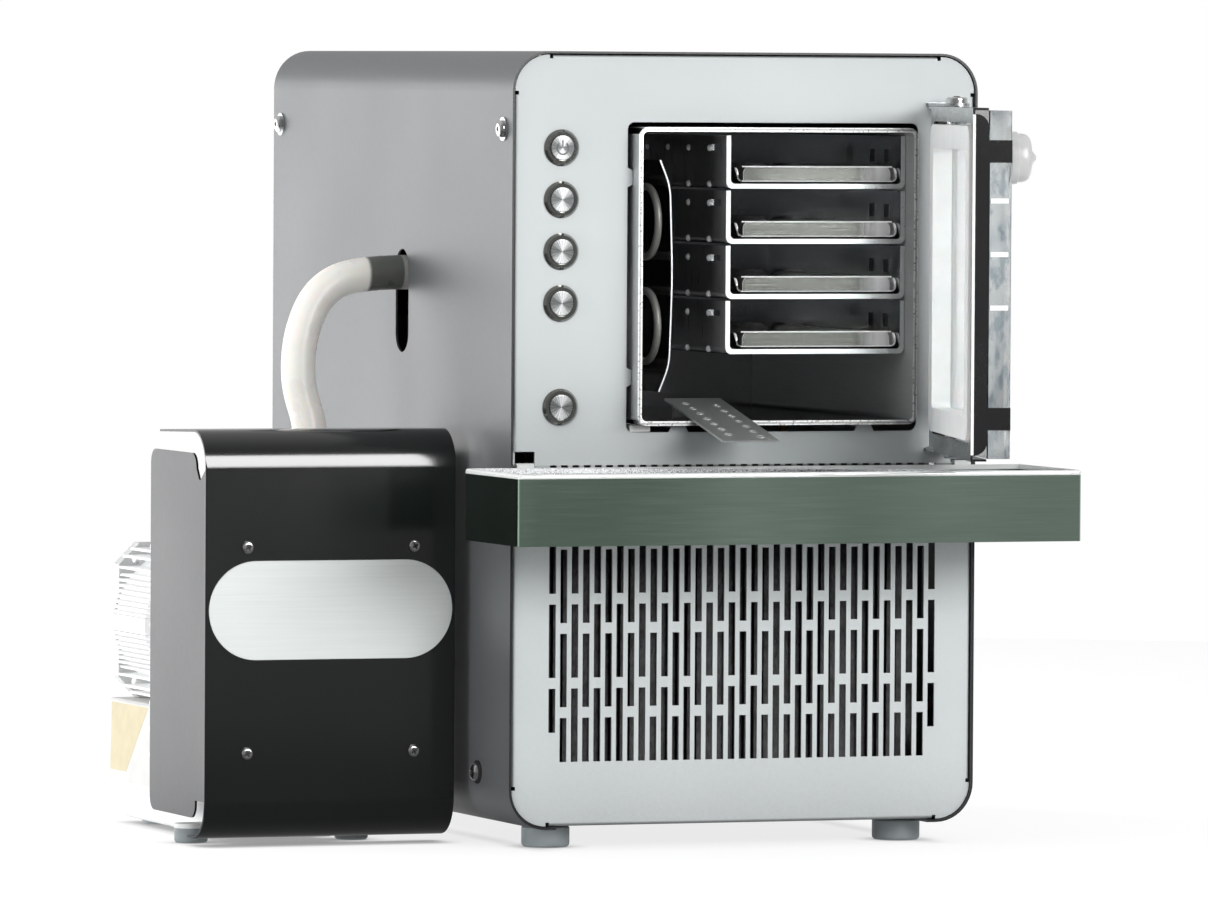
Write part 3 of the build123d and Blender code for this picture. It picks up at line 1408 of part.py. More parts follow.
with BuildPart() as oil_filler_cap:
    with BuildSketch(facing_up(case_top + filler_neck_h)):
        with Locations((filler_x, filler_d)):
            Circle(15)
            with PolarLocations(15.5, 12):
                Circle(1.8, mode=Mode.SUBTRACT)
    extrude(amount=14)
finish(oil_filler_cap, "oil_filler_cap")

with BuildPart() as motor_housing:
    # extruded tube with level fins, a smooth band at each side and stepped fins at its corners
    with BuildSketch(facing_front(motor_back)):
        with Locations((pump_x, motor_z)):
            with GridLocations(0, motor_fin_pitch, 1, motor_fins):
                Rectangle(2 * motor_fin_r, motor_fin_t)
            Rectangle(2 * motor_fin_r, motor_band)
            Circle(motor_fin_r, mode=Mode.INTERSECT)
            Circle(motor_core_r)
            Rectangle(motor_pad_w, 2 * motor_flat)
            for rise, reach in motor_steps:
                with GridLocations(0, 2 * rise, 1, 2):
                    Rectangle(2 * reach, motor_fin_t)
    extrude(amount=motor_back - motor_front)
finish(motor_housing, "motor_housing")

with BuildPart() as motor_shields:
    # cast end plates with cut corners and four bolts each; the front one meets the oil case
    rear_ring = motor_back + gap + shield_ring_t
    for back, length in ((motor_front - gap, motor_front - 2 * gap - case_back), (rear_ring, shield_ring_t)):
        with BuildSketch(facing_front(back)):
            with Locations((pump_x, motor_z)):
                Rectangle(motor_plate_w, 2 * motor_flat)
            chamfer(vertices(), length=motor_plate_cut)
            with Locations((pump_x, motor_z)):
                Circle(motor_core_r + 1.5)
                with GridLocations(2 * motor_bolt_dx, 2 * motor_bolt_dz, 2, 2):
                    Circle(motor_bolt_r, mode=Mode.SUBTRACT)
        extrude(amount=length)
    with BuildSketch(facing_front(rear_ring)):
        with Locations((pump_x, motor_z)):
            Circle(rotor_r + running)
    extrude(amount=shield_ring_t, mode=Mode.SUBTRACT)
finish(motor_shields, "motor_shields")

cowl_end = rear_ring + gap + cowl_len

with BuildPart() as fan_cowl:
    with BuildSketch(facing_front(cowl_end)):
        with Locations((pump_x, motor_z)):
            Circle(cowl_r)
    extrude(amount=cowl_len)
    fillet(fan_cowl.edges().group_by(Axis.Y)[-1], radius=2 * cowl_t)
    with BuildSketch(facing_front(cowl_end - cowl_t)):
        with Locations((pump_x, motor_z)):
            Circle(cowl_r - cowl_t)
    extrude(amount=cowl_len - cowl_t, mode=Mode.SUBTRACT)
    # air slots in rings round the middle
    with BuildSketch(facing_front(cowl_end)):
        with Locations((pump_x, motor_z)):
            for ring, count in ((16, cowl_holes), (27, cowl_holes + 4), (38, 2 * cowl_holes)):
                with PolarLocations(ring, count):
                    SlotOverall(8, 5, rotation=90)
    extrude(amount=2 * cowl_t, mode=Mode.SUBTRACT)
finish(fan_cowl, "fan_cowl")

rotor_centre = facing_front(rear_ring + gap + 3).from_local_coords((pump_x, motor_z, 0))

with BuildPart() as impeller_blade:
    with BuildSketch(facing_front(rear_ring + gap + 3 + impeller_t)):
        with Locations((pump_x + (impeller_r + rotor_r) / 2, motor_z)):
            Rectangle(impeller_r - rotor_r, 2)
    extrude(amount=impeller_t)

with BuildPart() as motor_fan:
    # shaft, hub, back disc and straight blades
    with BuildSketch(facing_front(rear_ring + gap + 3 + impeller_t)):
        with Locations((pump_x, motor_z)):
            Circle(rotor_r)
    extrude(amount=gap + 3 + impeller_t + shield_ring_t - 1)
    with BuildSketch(facing_front(rear_ring + gap + 3 + impeller_t)):
        with Locations((pump_x, motor_z)):
            Circle(rotor_r + 5)
    extrude(amount=impeller_t)
    with BuildSketch(facing_front(rear_ring + gap + 3 + 2)):
        with Locations((pump_x, motor_z)):
            Circle(impeller_r)
    extrude(amount=2)
    for turn in range(impeller_blades):
        add(impeller_blade.part.rotate(Axis(rotor_centre, (0, 1, 0)), turn * 360 / impeller_blades))
finish(motor_fan, "motor_fan")

with BuildPart() as pump_control_box:
    box_top = motor_z - motor_flat - gap
    with BuildSketch(facing_up(pump_base_top)):
        with Locations((pump_x, box_front)):
            RectangleRounded(box_w, box_back - box_front, box_r, align=(Align.CENTER, Align.MIN))
    extrude(amount=box_top - pump_base_top)
    chamfer(pump_control_box.edges().group_by(Axis.Z)[-1], length=1.5)
    with BuildSketch(facing_front(box_back)):
        with Locations((pump_x, (pump_base_top + box_top) / 2)):
            Rectangle(inlet_hole_w, inlet_hole_h)
    extrude(amount=inlet_len + 1, mode=Mode.SUBTRACT)
finish(pump_control_box, "pump_control_box")

with BuildPart() as power_inlets:
    for depth, across, height in ((back_face, inlet_x, inlet_z), (box_back, pump_x, (pump_base_top + box_top) / 2)):
        add(mains_inlet(depth, across, height).part)
finish(power_inlets, "power_inlets")

with BuildPart() as pump_fittings:
    # drain plug screwed into the front of the oil case
    with BuildSketch(facing_front(case_front)):
        with Locations((drain_x, pump_base_top + drain_rise)):
            Circle(9)
    extrude(amount=2)
    with BuildSketch(facing_front(case_front - 2)):
        with Locations((drain_x, pump_base_top + drain_rise)):
            RegularPolygon(8, 6)
    extrude(amount=6)
    # hexagon and hose barb screwed into its top
    with BuildSketch(facing_up(case_top)):
        with Locations((barb_x, barb_d)):
            RegularPolygon(10.5, 6)
    extrude(amount=8)
    with BuildSketch(Plane(origin=facing_up(0).from_local_coords((barb_x, barb_d, 0)),
                           x_dir=(1, 0, 0), z_dir=(0, -1, 0))):
        with BuildLine():
            Polyline((0, case_top + 8), (hose_bore_r - 1.2, case_top + 8), (hose_bore_r - 1.2, hose_end),
                     (hose_bore_r, hose_end + 2), (hose_bore_r - 1, hose_end + 9), (hose_bore_r, hose_end + 10),
                     (hose_bore_r - 1, hose_end + 17), (hose_bore_r, hose_end + 18), (hose_bore_r - 1.2, barb_end),
                     (0, barb_end), close=True)
        make_face()
    revolve(axis=Axis(facing_up(0).from_local_coords((barb_x, barb_d, 0)), (0, 0, 1)))
    with BuildSketch(facing_up(barb_end)):
        with Locations((barb_x, barb_d)):
            Circle(hose_bore_r - 3.5)
    extrude(amount=-(barb_end - case_top - 4), mode=Mode.SUBTRACT)
finish(pump_fittings, "pump_fittings")

with BuildPart() as hose_clamp:
    # band round the hose with its screw housing
    with BuildSketch(facing_up(hose_end + 3)):
        with Locations((barb_x, barb_d)):
            Circle(hose_r + gap + 1)
            with Locations((0, hose_r + 4)):
                Rectangle(14, 7)
            Circle(hose_r + gap, mode=Mode.SUBTRACT)
    extrude(amount=10)
finish(hose_clamp, "hose_clamp")
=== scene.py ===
import bpy
import math
from mathutils import Euler, Matrix, Vector


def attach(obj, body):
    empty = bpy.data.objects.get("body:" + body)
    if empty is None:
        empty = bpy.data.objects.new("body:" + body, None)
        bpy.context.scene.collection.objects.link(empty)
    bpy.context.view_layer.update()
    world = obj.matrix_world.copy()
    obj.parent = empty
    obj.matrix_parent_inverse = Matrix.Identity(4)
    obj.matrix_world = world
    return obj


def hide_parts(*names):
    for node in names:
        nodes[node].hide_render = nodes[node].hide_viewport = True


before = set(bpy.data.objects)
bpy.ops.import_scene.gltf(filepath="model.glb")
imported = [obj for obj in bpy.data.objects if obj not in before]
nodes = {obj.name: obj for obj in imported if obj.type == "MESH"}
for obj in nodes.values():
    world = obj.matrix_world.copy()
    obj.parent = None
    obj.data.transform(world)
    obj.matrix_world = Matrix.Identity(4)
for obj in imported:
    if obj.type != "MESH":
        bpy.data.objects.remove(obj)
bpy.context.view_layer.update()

scene = bpy.context.scene
print("frame loaded,", len(nodes), "nodes")

# the cabinet's front edge and centre line in the frame, in metres
cabinetX = 0.0795
cabinetY = -0.12785


def at(across, depth, height):
    # a point given in millimetres from the cabinet's centre line, front edge and floor
    return Vector((cabinetX + across / 1000, cabinetY + depth / 1000, height / 1000))


def read(point):
    # the other way round: frame metres to millimetres across, deep and high
    return (point.x - cabinetX) * 1000, (point.y - cabinetY) * 1000, point.z * 1000


# node helpers: each adds one node and gives back its output
def calculated(tree, operation, *terms):
    # terms are sockets or fixed numbers
    made = tree.nodes.new("ShaderNodeMath")
    made.operation = operation
    for slot, term in enumerate(terms):
        if isinstance(term, (int, float)):
            made.inputs[slot].default_value = term
        else:
            tree.links.new(term, made.inputs[slot])
    return made.outputs[0]


def mixedBy(tree, share, first, second):
    # one shader into another by a share from 0 to 1
    made = tree.nodes.new("ShaderNodeMixShader")
    tree.links.new(share, made.inputs[0])
    tree.links.new(first, made.inputs[1])
    tree.links.new(second, made.inputs[2])
    return made.outputs[0]


def cameraOrGlass(tree):
    # 1 where the eye looks straight at a thing or through glass
    rays = tree.nodes.new("ShaderNodeLightPath")
    return rays, calculated(tree, "MAXIMUM", rays.outputs["Is Camera Ray"], rays.outputs["Is Transmission Ray"])


def stretched(tree, source, scale):
    # Object coordinates stretched to a grain
    mapping = tree.nodes.new("ShaderNodeMapping")
    mapping.inputs["Scale"].default_value = scale
    tree.links.new(source, mapping.inputs["Vector"])
    return mapping.outputs[0]


def noise(tree, vector, scale, detail=3.0, rough=0.5):
    made = tree.nodes.new("ShaderNodeTexNoise")
    made.inputs["Scale"].default_value = scale
    made.inputs["Detail"].default_value = detail
    made.inputs["Roughness"].default_value = rough
    tree.links.new(vector, made.inputs["Vector"])
    return made.outputs["Fac"]


def ranged(tree, value, low, high, fromLow=0.3, fromHigh=0.7):
    made = tree.nodes.new("ShaderNodeMapRange")
    made.inputs["From Min"].default_value = fromLow
    made.inputs["From Max"].default_value = fromHigh
    made.inputs["To Min"].default_value = low
    made.inputs["To Max"].default_value = high
    tree.links.new(value, made.inputs["Value"])
    return made.outputs[0]


def parted(tree, source):
    # a vector's X, Y and Z
    made = tree.nodes.new("ShaderNodeSeparateXYZ")
    tree.links.new(source, made.inputs[0])
    return made.outputs


def moved(tree, source, operation, amount=None):
    # a vector changed by one operation, with a fixed second vector where it needs one
    made = tree.nodes.new("ShaderNodeVectorMath")
    made.operation = operation
    if amount is not None:
        made.inputs[1].default_value = amount
    tree.links.new(source, made.inputs[0])
    return made.outputs


def summed(tree, first, second, share):
    # first * share + second
    return calculated(tree, "MULTIPLY_ADD", first, share, second)


def tinted(tree, value, dark, light, low=0.3, high=0.7):
    made = tree.nodes.new("ShaderNodeValToRGB")
    made.color_ramp.elements[0].position = low
    made.color_ramp.elements[1].position = high
    made.color_ramp.elements[0].color = (*dark, 1)
    made.color_ramp.elements[1].color = (*light, 1)
    tree.links.new(value, made.inputs[0])
    return made.outputs[0]


def blended(tree, share, first, second):
    # one colour into another by a share from 0 to 1
    made = tree.nodes.new("ShaderNodeMix")
    made.data_type = "RGBA"
    tree.links.new(share, made.inputs["Factor"])
    tree.links.new(first, made.inputs[6])
    tree.links.new(second, made.inputs[7])
    return made.outputs[2]


def bumped(tree, shader, height, strength, distance):
    bump = tree.nodes.new("ShaderNodeBump")
    bump.inputs["Strength"].default_value = strength
    bump.inputs["Distance"].default_value = distance
    tree.links.new(height, bump.inputs["Height"])
    tree.links.new(bump.outputs[0], shader.inputs["Normal"])


def linked(name, data):
    # a new object in the scene, with its data
    made = bpy.data.objects.new(name, data)
    scene.collection.objects.link(made)
    return made


# camera
cameraSet = {"place": (-2560.4, -6644.0, 529.1), "yaw": 20.3, "pitch": 2.11, "roll": 0.35,
             "lens": 310.67, "sensor": 36, "clip": 60}
cameraData = bpy.data.cameras.new("camera")
cameraData.lens = cameraSet["lens"]
cameraData.sensor_width = cameraSet["sensor"]
cameraData.clip_end = cameraSet["clip"]
camera = linked("camera", cameraData)
aim = Euler((math.radians(90 - cameraSet["pitch"]), 0, -math.radians(cameraSet["yaw"]))).to_matrix()
aim = aim @ Matrix.Rotation(math.radians(cameraSet["roll"]), 3, "Z")
camera.matrix_world = Matrix.Translation(at(*cameraSet["place"])) @ aim.to_4x4()
scene.camera = camera

# light
scene.view_settings.view_transform = "Standard"
worldSet = {"ambient": 0.34, "behind": 0.58, "infront": 0.2, "fadeFrom": -0.75, "fadeTo": 0.35}
world = bpy.data.worlds.new("studio")
scene.world = world
world.use_nodes = True
worldTree = world.node_tree
worldTree.nodes.clear()


def background(strength):
    made = worldTree.nodes.new("ShaderNodeBackground")
    made.inputs["Color"].default_value = (1, 1, 1, 1)
    made.inputs["Strength"].default_value = strength
    return made


seen = background(1.0)
mirrored = background(1.0)  # what gloss and metal see: white behind the object, a dimmer room in front
soft = background(worldSet["ambient"])
direction = worldTree.nodes.new("ShaderNodeTexCoord")
roomFade = ranged(worldTree, parted(worldTree, direction.outputs["Generated"])["Y"], worldSet["infront"],
                  worldSet["behind"], worldSet["fadeFrom"], worldSet["fadeTo"])
roomFade.node.interpolation_type = "SMOOTHSTEP"
worldTree.links.new(roomFade, mirrored.inputs["Strength"])
worldRays, worldSeen = cameraOrGlass(worldTree)
roomLight = mixedBy(worldTree, worldRays.outputs["Is Glossy Ray"], soft.outputs[0], mirrored.outputs[0])
worldOut = worldTree.nodes.new("ShaderNodeOutputWorld")
worldTree.links.new(mixedBy(worldTree, worldSeen, roomLight, seen.outputs[0]), worldOut.inputs["Surface"])


def softBox(name, place, target, size, power, glossy=True, diffuse=True):
    lampData = bpy.data.lights.new(name, "AREA")
    lampData.shape = "RECTANGLE"
    lampData.size, lampData.size_y = size
    lampData.energy = power
    lamp = linked(name, lampData)
    lamp.location = place
    lamp.rotation_euler = (Vector(target) - Vector(place)).to_track_quat("-Z", "Y").to_euler()
    lamp.visible_glossy = glossy
    lamp.visible_diffuse = diffuse


# place and target in metres, width and height, watts; most boxes aren't mirrored, the strip is only mirrored
softBoxes = {
    "topBox": {"place": (0.0, -0.2, 2.6), "target": (0, 0.1, 0.2), "size": (2.4, 2.4), "power": 20, "glossy": False},
    "backBox": {"place": (-1.7, 2.9, 0.38), "target": (0, 0.2, 0.3), "size": (2.6, 1.05), "power": 17.5},
    "sideKey": {"place": (-1.5, 2.6, 0.95), "target": (-0.1, 0.1, 0.3), "size": (0.6, 0.6), "power": 42,
                "glossy": False},
    "leftFill": {"place": (-2.4, -0.1, 0.4), "target": (0, 0.1, 0.2), "size": (1.4, 0.7), "power": 30, "glossy": False},
    "frontBox": {"place": (0.85, -2.95, 1.1), "target": (0, 0, 0.28), "size": (1.8, 0.9), "power": 49, "glossy": False},
    "frontStrip": {"place": (1.08, -2.95, 1.5), "target": (0, 0, 0.28), "size": (1.8, 1.9), "power": 112,
                   "diffuse": False},
}
for boxName, boxSet in softBoxes.items():
    softBox(boxName, **boxSet)
print("camera and light ready")


# materials
def startFinish(name):
    finish = bpy.data.materials.new(name)
    finish.use_nodes = True
    tree = finish.node_tree
    shader = tree.nodes["Principled BSDF"]
    place = tree.nodes.new("ShaderNodeTexCoord")
    return finish, tree, shader, place.outputs["Object"]


def paintFinish(name, look):
    # sprayed coat with a fine orange peel and slight changes of gloss; where asked, painted shade in corners and a
    # painted lit band
    finish, tree, shader, place = startFinish(name)
    cloud = noise(tree, place, look.get("cloud", 5.0), 2.0)
    colour = tinted(tree, cloud, look["dark"], look["light"])
    if "nook" in look:
        # painted shade: corners that little light reaches go darker still
        near = tree.nodes.new("ShaderNodeAmbientOcclusion")
        near.samples = 16
        near.inputs["Distance"].default_value = look["nook"]
        darker = [[tone * look["nookTone"] for tone in look[end]] for end in ("dark", "light")]
        shaded = tinted(tree, cloud, *darker)
        clear = ranged(tree, near.outputs["AO"], 0.0, 1.0, *look["nookRange"])
        # painted light: a band stays lighter, where the polished tray below throws light back
        low, high, fade = (height / 1000 for height in look["lit"])
        height = parted(tree, place)["Z"]
        above = ranged(tree, height, 0.0, look["litShare"], low - 0.001, low)
        below = ranged(tree, height, 1.0, 0.0, high, high + fade)
        clear = calculated(tree, "MAXIMUM", calculated(tree, "MULTIPLY", above, below), clear)
        colour = blended(tree, clear, shaded, colour)
    tree.links.new(colour, shader.inputs["Base Color"])
    fleck = noise(tree, place, 240.0, 4.0)
    gloss = summed(tree, fleck, ranged(tree, cloud, look["smooth"], look["rough"]), look.get("fleckShare", 0.06))
    tree.links.new(gloss, shader.inputs["Roughness"])
    shader.inputs["Specular IOR Level"].default_value = look.get("gloss", 0.5)
    shader.inputs["Coat Weight"].default_value = look.get("coat", 0.0)
    shader.inputs["Coat Roughness"].default_value = look.get("coatRough", 0.05)
    peel = noise(tree, place, look.get("peelScale", 900.0), 2.0)
    bumped(tree, shader, peel, look.get("peel", 0.05), 0.0003)
    return finish


def metalFinish(name, look):
    # steel with a grain drawn along one axis and faint clouds
    finish, tree, shader, place = startFinish(name)
    grain = noise(tree, stretched(tree, place, look.get("grain", (1, 1, 1))), look.get("scale", 700.0), 4.0, 0.6)
    cloud = noise(tree, place, look.get("cloud", 9.0), 2.0)
    mixed = summed(tree, grain, summed(tree, cloud, cloud, -0.55), 0.55)
    tree.links.new(tinted(tree, mixed, look["dark"], look["light"]), shader.inputs["Base Color"])
    tree.links.new(ranged(tree, mixed, look["smooth"], look["rough"]), shader.inputs["Roughness"])
    shader.inputs["Metallic"].default_value = look.get("metal", 1.0)
    bumped(tree, shader, grain, look.get("bump", 0.03), 0.0002)
    return finish


def plainFinish(name, look):
    # moulded plastic or rubber with a fine texture
    finish, tree, shader, place = startFinish(name)
    cloud = noise(tree, place, look.get("cloud", 60.0), 3.0)
    tree.links.new(tinted(tree, cloud, look["dark"], look["light"]), shader.inputs["Base Color"])
    tree.links.new(ranged(tree, cloud, look["smooth"], look["rough"]), shader.inputs["Roughness"])
    shader.inputs["Specular IOR Level"].default_value = look.get("gloss", 0.5)
    shader.inputs["Subsurface Weight"].default_value = look.get("under", 0.0)
    shader.inputs["Subsurface Scale"].default_value = 0.004
    shader.inputs["Emission Color"].default_value = (1, 1, 1, 1)
    shader.inputs["Emission Strength"].default_value = look.get("glow", 0.0)
    bumped(tree, shader, noise(tree, place, look.get("textureScale", 1500.0), 2.0), look.get("texture", 0.1), 0.0002)
    return finish


# each finish: its darkest and lightest tone, its smoothest and roughest gloss, and what else sets it apart
looks = {
    # painted light: the cabinet paint is a dark grey, lighter copy of the sleeve's black paint, for sides that catch
    # the back lamps
    "cabinetPaint": (paintFinish, {"dark": (0.094, 0.1, 0.105), "light": (0.106, 0.112, 0.118), "smooth": 0.38,
                                   "rough": 0.46, "gloss": 0.75, "coat": 0.2, "coatRough": 0.4}),
    "coverPaint": (paintFinish, {"dark": (0.004, 0.0055, 0.005), "light": (0.0055, 0.007, 0.0065), "smooth": 0.1,
                                 "rough": 0.14, "gloss": 1.0, "fleckShare": 0.03, "peel": 0.02}),
    # painted light: a lighter copy of the cover's black paint, for its side flange
    "flangePaint": (paintFinish, {"dark": (0.042, 0.044, 0.047), "light": (0.05, 0.052, 0.055), "smooth": 0.4,
                                  "rough": 0.48, "gloss": 0.75, "coat": 0.12, "coatRough": 0.4}),
    "panelPaint": (paintFinish, {"dark": (0.58, 0.615, 0.62), "light": (0.66, 0.695, 0.7), "smooth": 0.36,
                                 "rough": 0.46, "gloss": 0.35, "peelScale": 1400.0, "peel": 0.12, "nook": 0.26,
                                 "nookTone": 0.3, "nookRange": (0.32, 0.6), "lit": (262.0, 282.0, 16.0),
                                 "litShare": 0.85}),
    "doorPaint": (paintFinish, {"dark": (0.008, 0.008, 0.009), "light": (0.012, 0.012, 0.013), "smooth": 0.2,
                                "rough": 0.3}),
    "chamberSteel": (metalFinish, {"dark": (0.34, 0.35, 0.35), "light": (0.42, 0.43, 0.43), "smooth": 0.12,
                                   "rough": 0.2, "grain": (1, 0.05, 1), "scale": 500.0}),
    "outerSteel": (metalFinish, {"dark": (0.6, 0.62, 0.63), "light": (0.72, 0.74, 0.75), "smooth": 0.42,
                                 "rough": 0.55, "metal": 0.6}),
    # partly painted highlight: a lighter ground finish for front cut edges, which also stands in for the glints their
    # rounded edges catch
    "rimSteel": (metalFinish, {"dark": (0.56, 0.58, 0.58), "light": (0.7, 0.72, 0.72), "smooth": 0.26, "rough": 0.38,
                               "metal": 0.6}),
    "rackSteel": (metalFinish, {"dark": (0.3, 0.31, 0.32), "light": (0.38, 0.39, 0.4), "smooth": 0.12, "rough": 0.2,
                                "grain": (1, 0.05, 1)}),
    "rampSteel": (metalFinish, {"dark": (0.46, 0.48, 0.47), "light": (0.6, 0.62, 0.61), "smooth": 0.28, "rough": 0.4,
                                "grain": (1, 0.05, 1), "metal": 0.7, "bump": 0.015}),
    "plainSteel": (metalFinish, {"dark": (0.5, 0.51, 0.52), "light": (0.66, 0.67, 0.68), "smooth": 0.2,
                                 "rough": 0.34}),
    "dullSteel": (metalFinish, {"dark": (0.12, 0.12, 0.125), "light": (0.2, 0.2, 0.205), "smooth": 0.35, "rough": 0.5,
                                "metal": 0.6}),
    # painted light: a lighter, rougher copy of the chamber steel for its inner right wall
    "wallSheen": (metalFinish, {"dark": (0.34, 0.35, 0.35), "light": (0.44, 0.45, 0.45), "smooth": 0.3, "rough": 0.45,
                                "metal": 0.35, "grain": (1, 0.05, 1)}),
    "screwSteel": (metalFinish, {"dark": (0.62, 0.63, 0.63), "light": (0.8, 0.81, 0.81), "smooth": 0.1, "rough": 0.2}),
    # partly painted highlight: near-white stud finish for glints
    "studSteel": (metalFinish, {"dark": (0.8, 0.82, 0.82), "light": (0.94, 0.96, 0.96), "smooth": 0.2, "rough": 0.3,
                                "metal": 0.1}),
    # painted highlight: a pale finish that glows a little, for edges that catch the light
    "brightEdge": (plainFinish, {"dark": (0.7, 0.71, 0.7), "light": (0.8, 0.81, 0.8), "smooth": 0.2, "rough": 0.3,
                                 "cloud": 300.0, "texture": 0.02, "glow": 0.26}),
    "coilMetal": (metalFinish, {"dark": (0.16, 0.16, 0.15), "light": (0.24, 0.24, 0.22), "smooth": 0.4, "rough": 0.5,
                                "metal": 0.3}),
    "bezelSteel": (metalFinish, {"dark": (0.28, 0.29, 0.27), "light": (0.42, 0.43, 0.41), "smooth": 0.04,
                                 "rough": 0.1}),
    "badgeSteel": (metalFinish, {"dark": (0.64, 0.67, 0.66), "light": (0.72, 0.75, 0.74), "smooth": 0.4, "rough": 0.5,
                                 "grain": (0.02, 1, 1), "metal": 0.15}),
    "copper": (metalFinish, {"dark": (0.6, 0.3, 0.18), "light": (0.75, 0.42, 0.27), "smooth": 0.25, "rough": 0.38}),
    "brass": (metalFinish, {"dark": (0.6, 0.48, 0.22), "light": (0.75, 0.62, 0.32), "smooth": 0.22, "rough": 0.32}),
    "finMetal": (metalFinish, {"dark": (0.02, 0.02, 0.02), "light": (0.14, 0.14, 0.14), "smooth": 0.4, "rough": 0.55,
                               "grain": (1, 1, 0.4), "scale": 420.0}),
    "footRubber": (plainFinish, {"dark": (0.23, 0.26, 0.27), "light": (0.28, 0.31, 0.32), "smooth": 0.45,
                                 "rough": 0.55}),
    "blackRubber": (plainFinish, {"dark": (0.02, 0.02, 0.02), "light": (0.03, 0.03, 0.03), "smooth": 0.6,
                                  "rough": 0.75}),
    "blackPlastic": (plainFinish, {"dark": (0.02, 0.02, 0.021), "light": (0.03, 0.03, 0.031), "smooth": 0.35,
                                   "rough": 0.5}),
    "whiteSilicone": (plainFinish, {"dark": (0.82, 0.84, 0.84), "light": (0.88, 0.9, 0.9), "smooth": 0.35,
                                    "rough": 0.45, "under": 0.15}),
    "castWhite": (plainFinish, {"dark": (0.7, 0.71, 0.71), "light": (0.78, 0.79, 0.79), "smooth": 0.4, "rough": 0.55,
                                "textureScale": 500.0, "texture": 0.3}),
    # painted light: the motor's white paint glows a little, for light bounced between its fins
    "motorWhite": (plainFinish, {"dark": (0.66, 0.67, 0.67), "light": (0.74, 0.75, 0.75), "smooth": 0.4,
                                 "rough": 0.55, "textureScale": 500.0, "texture": 0.3, "glow": 0.2}),
    "castGrey": (plainFinish, {"dark": (0.56, 0.57, 0.57), "light": (0.64, 0.65, 0.65), "smooth": 0.4, "rough": 0.55,
                               "textureScale": 500.0, "texture": 0.3}),
    "boxWhite": (plainFinish, {"dark": (0.58, 0.58, 0.57), "light": (0.64, 0.64, 0.63), "smooth": 0.5, "rough": 0.62,
                               "gloss": 0.25, "textureScale": 2200.0, "texture": 0.06}),
    "knobPlastic": (plainFinish, {"dark": (0.58, 0.58, 0.58), "light": (0.66, 0.66, 0.66), "smooth": 0.25,
                                  "rough": 0.35}),
    "board": (plainFinish, {"dark": (0.01, 0.07, 0.03), "light": (0.02, 0.12, 0.05), "smooth": 0.3, "rough": 0.5}),
}
finishes = {name: make(name, look) for name, (make, look) in looks.items()}

# tray fronts: brushed across; painted light makes them paler and less metallic towards the open side
traySet = {"left": -3.0, "right": 115.0, "dark": 0.2, "light": 0.9, "litFrom": 0.76, "litTo": 0.88}
trayFinish, trayTree, trayShader, trayPlace = startFinish("traySteel")
trayGrain = noise(trayTree, stretched(trayTree, trayPlace, (0.01, 1, 1)), 1600.0, 3.0, 0.5)
trayAcross = ranged(trayTree, parted(trayTree, trayPlace)["X"], 0.0, 1.0,
                    at(traySet["left"], 0, 0).x, at(traySet["right"], 0, 0).x)
trayShadedTone = tinted(trayTree, trayGrain, [traySet["dark"] * tone for tone in (0.85, 0.87, 0.8)],
                  [traySet["dark"] * tone for tone in (1.05, 1.08, 1.0)])
trayLitTone = tinted(trayTree, trayGrain, (traySet["light"],) * 3, (traySet["light"] * 1.1,) * 3)
trayLitShare = ranged(trayTree, trayAcross, 0.0, 1.0, traySet["litFrom"], traySet["litTo"])
trayTree.links.new(blended(trayTree, trayLitShare, trayShadedTone, trayLitTone), trayShader.inputs["Base Color"])
trayTree.links.new(ranged(trayTree, trayGrain, 0.14, 0.2), trayShader.inputs["Roughness"])
trayTree.links.new(ranged(trayTree, trayLitShare, 0.9, 0.3, 0.0, 1.0), trayShader.inputs["Metallic"])
bumped(trayTree, trayShader, trayGrain, 0.006, 0.0002)
finishes["traySteel"] = trayFinish

# drip tray: a painted highlight, a pale band, on its rolled lip, and a painted reflection, a green tint, on the sheet
# below
dripSet = {"lip": 257.0, "blend": 0.4}
dripFinish, dripTree, dripShader, dripPlace = startFinish("dripSteel")
dripGrain = noise(dripTree, stretched(dripTree, dripPlace, (0.02, 1, 1)), 900.0, 4.0, 0.6)
dripCloud = noise(dripTree, stretched(dripTree, dripPlace, (1, 1, 0.3)), 7.0, 1.0)
dripMixed = summed(dripTree, dripGrain, dripCloud, 0.12)
dripGreenReflection = tinted(dripTree, dripMixed, (0.36, 0.5, 0.4), (0.64, 0.82, 0.7), 0.4, 0.75)
dripLipHighlight = tinted(dripTree, dripGrain, (0.8, 0.82, 0.81), (0.95, 0.97, 0.96))
dripHighlightShare = ranged(dripTree, parted(dripTree, dripPlace)["Z"], 0.0, 1.0,
                 dripSet["lip"] / 1000, (dripSet["lip"] + dripSet["blend"]) / 1000)
dripTree.links.new(blended(dripTree, dripHighlightShare, dripGreenReflection, dripLipHighlight), dripShader.inputs["Base Color"])
dripTree.links.new(ranged(dripTree, dripHighlightShare, 1.0, 0.25, 0.0, 1.0), dripShader.inputs["Metallic"])
dripTree.links.new(ranged(dripTree, dripGrain, 0.06, 0.12), dripShader.inputs["Roughness"])
bumped(dripTree, dripShader, dripGrain, 0.015, 0.0002)
finishes["dripSteel"] = dripFinish

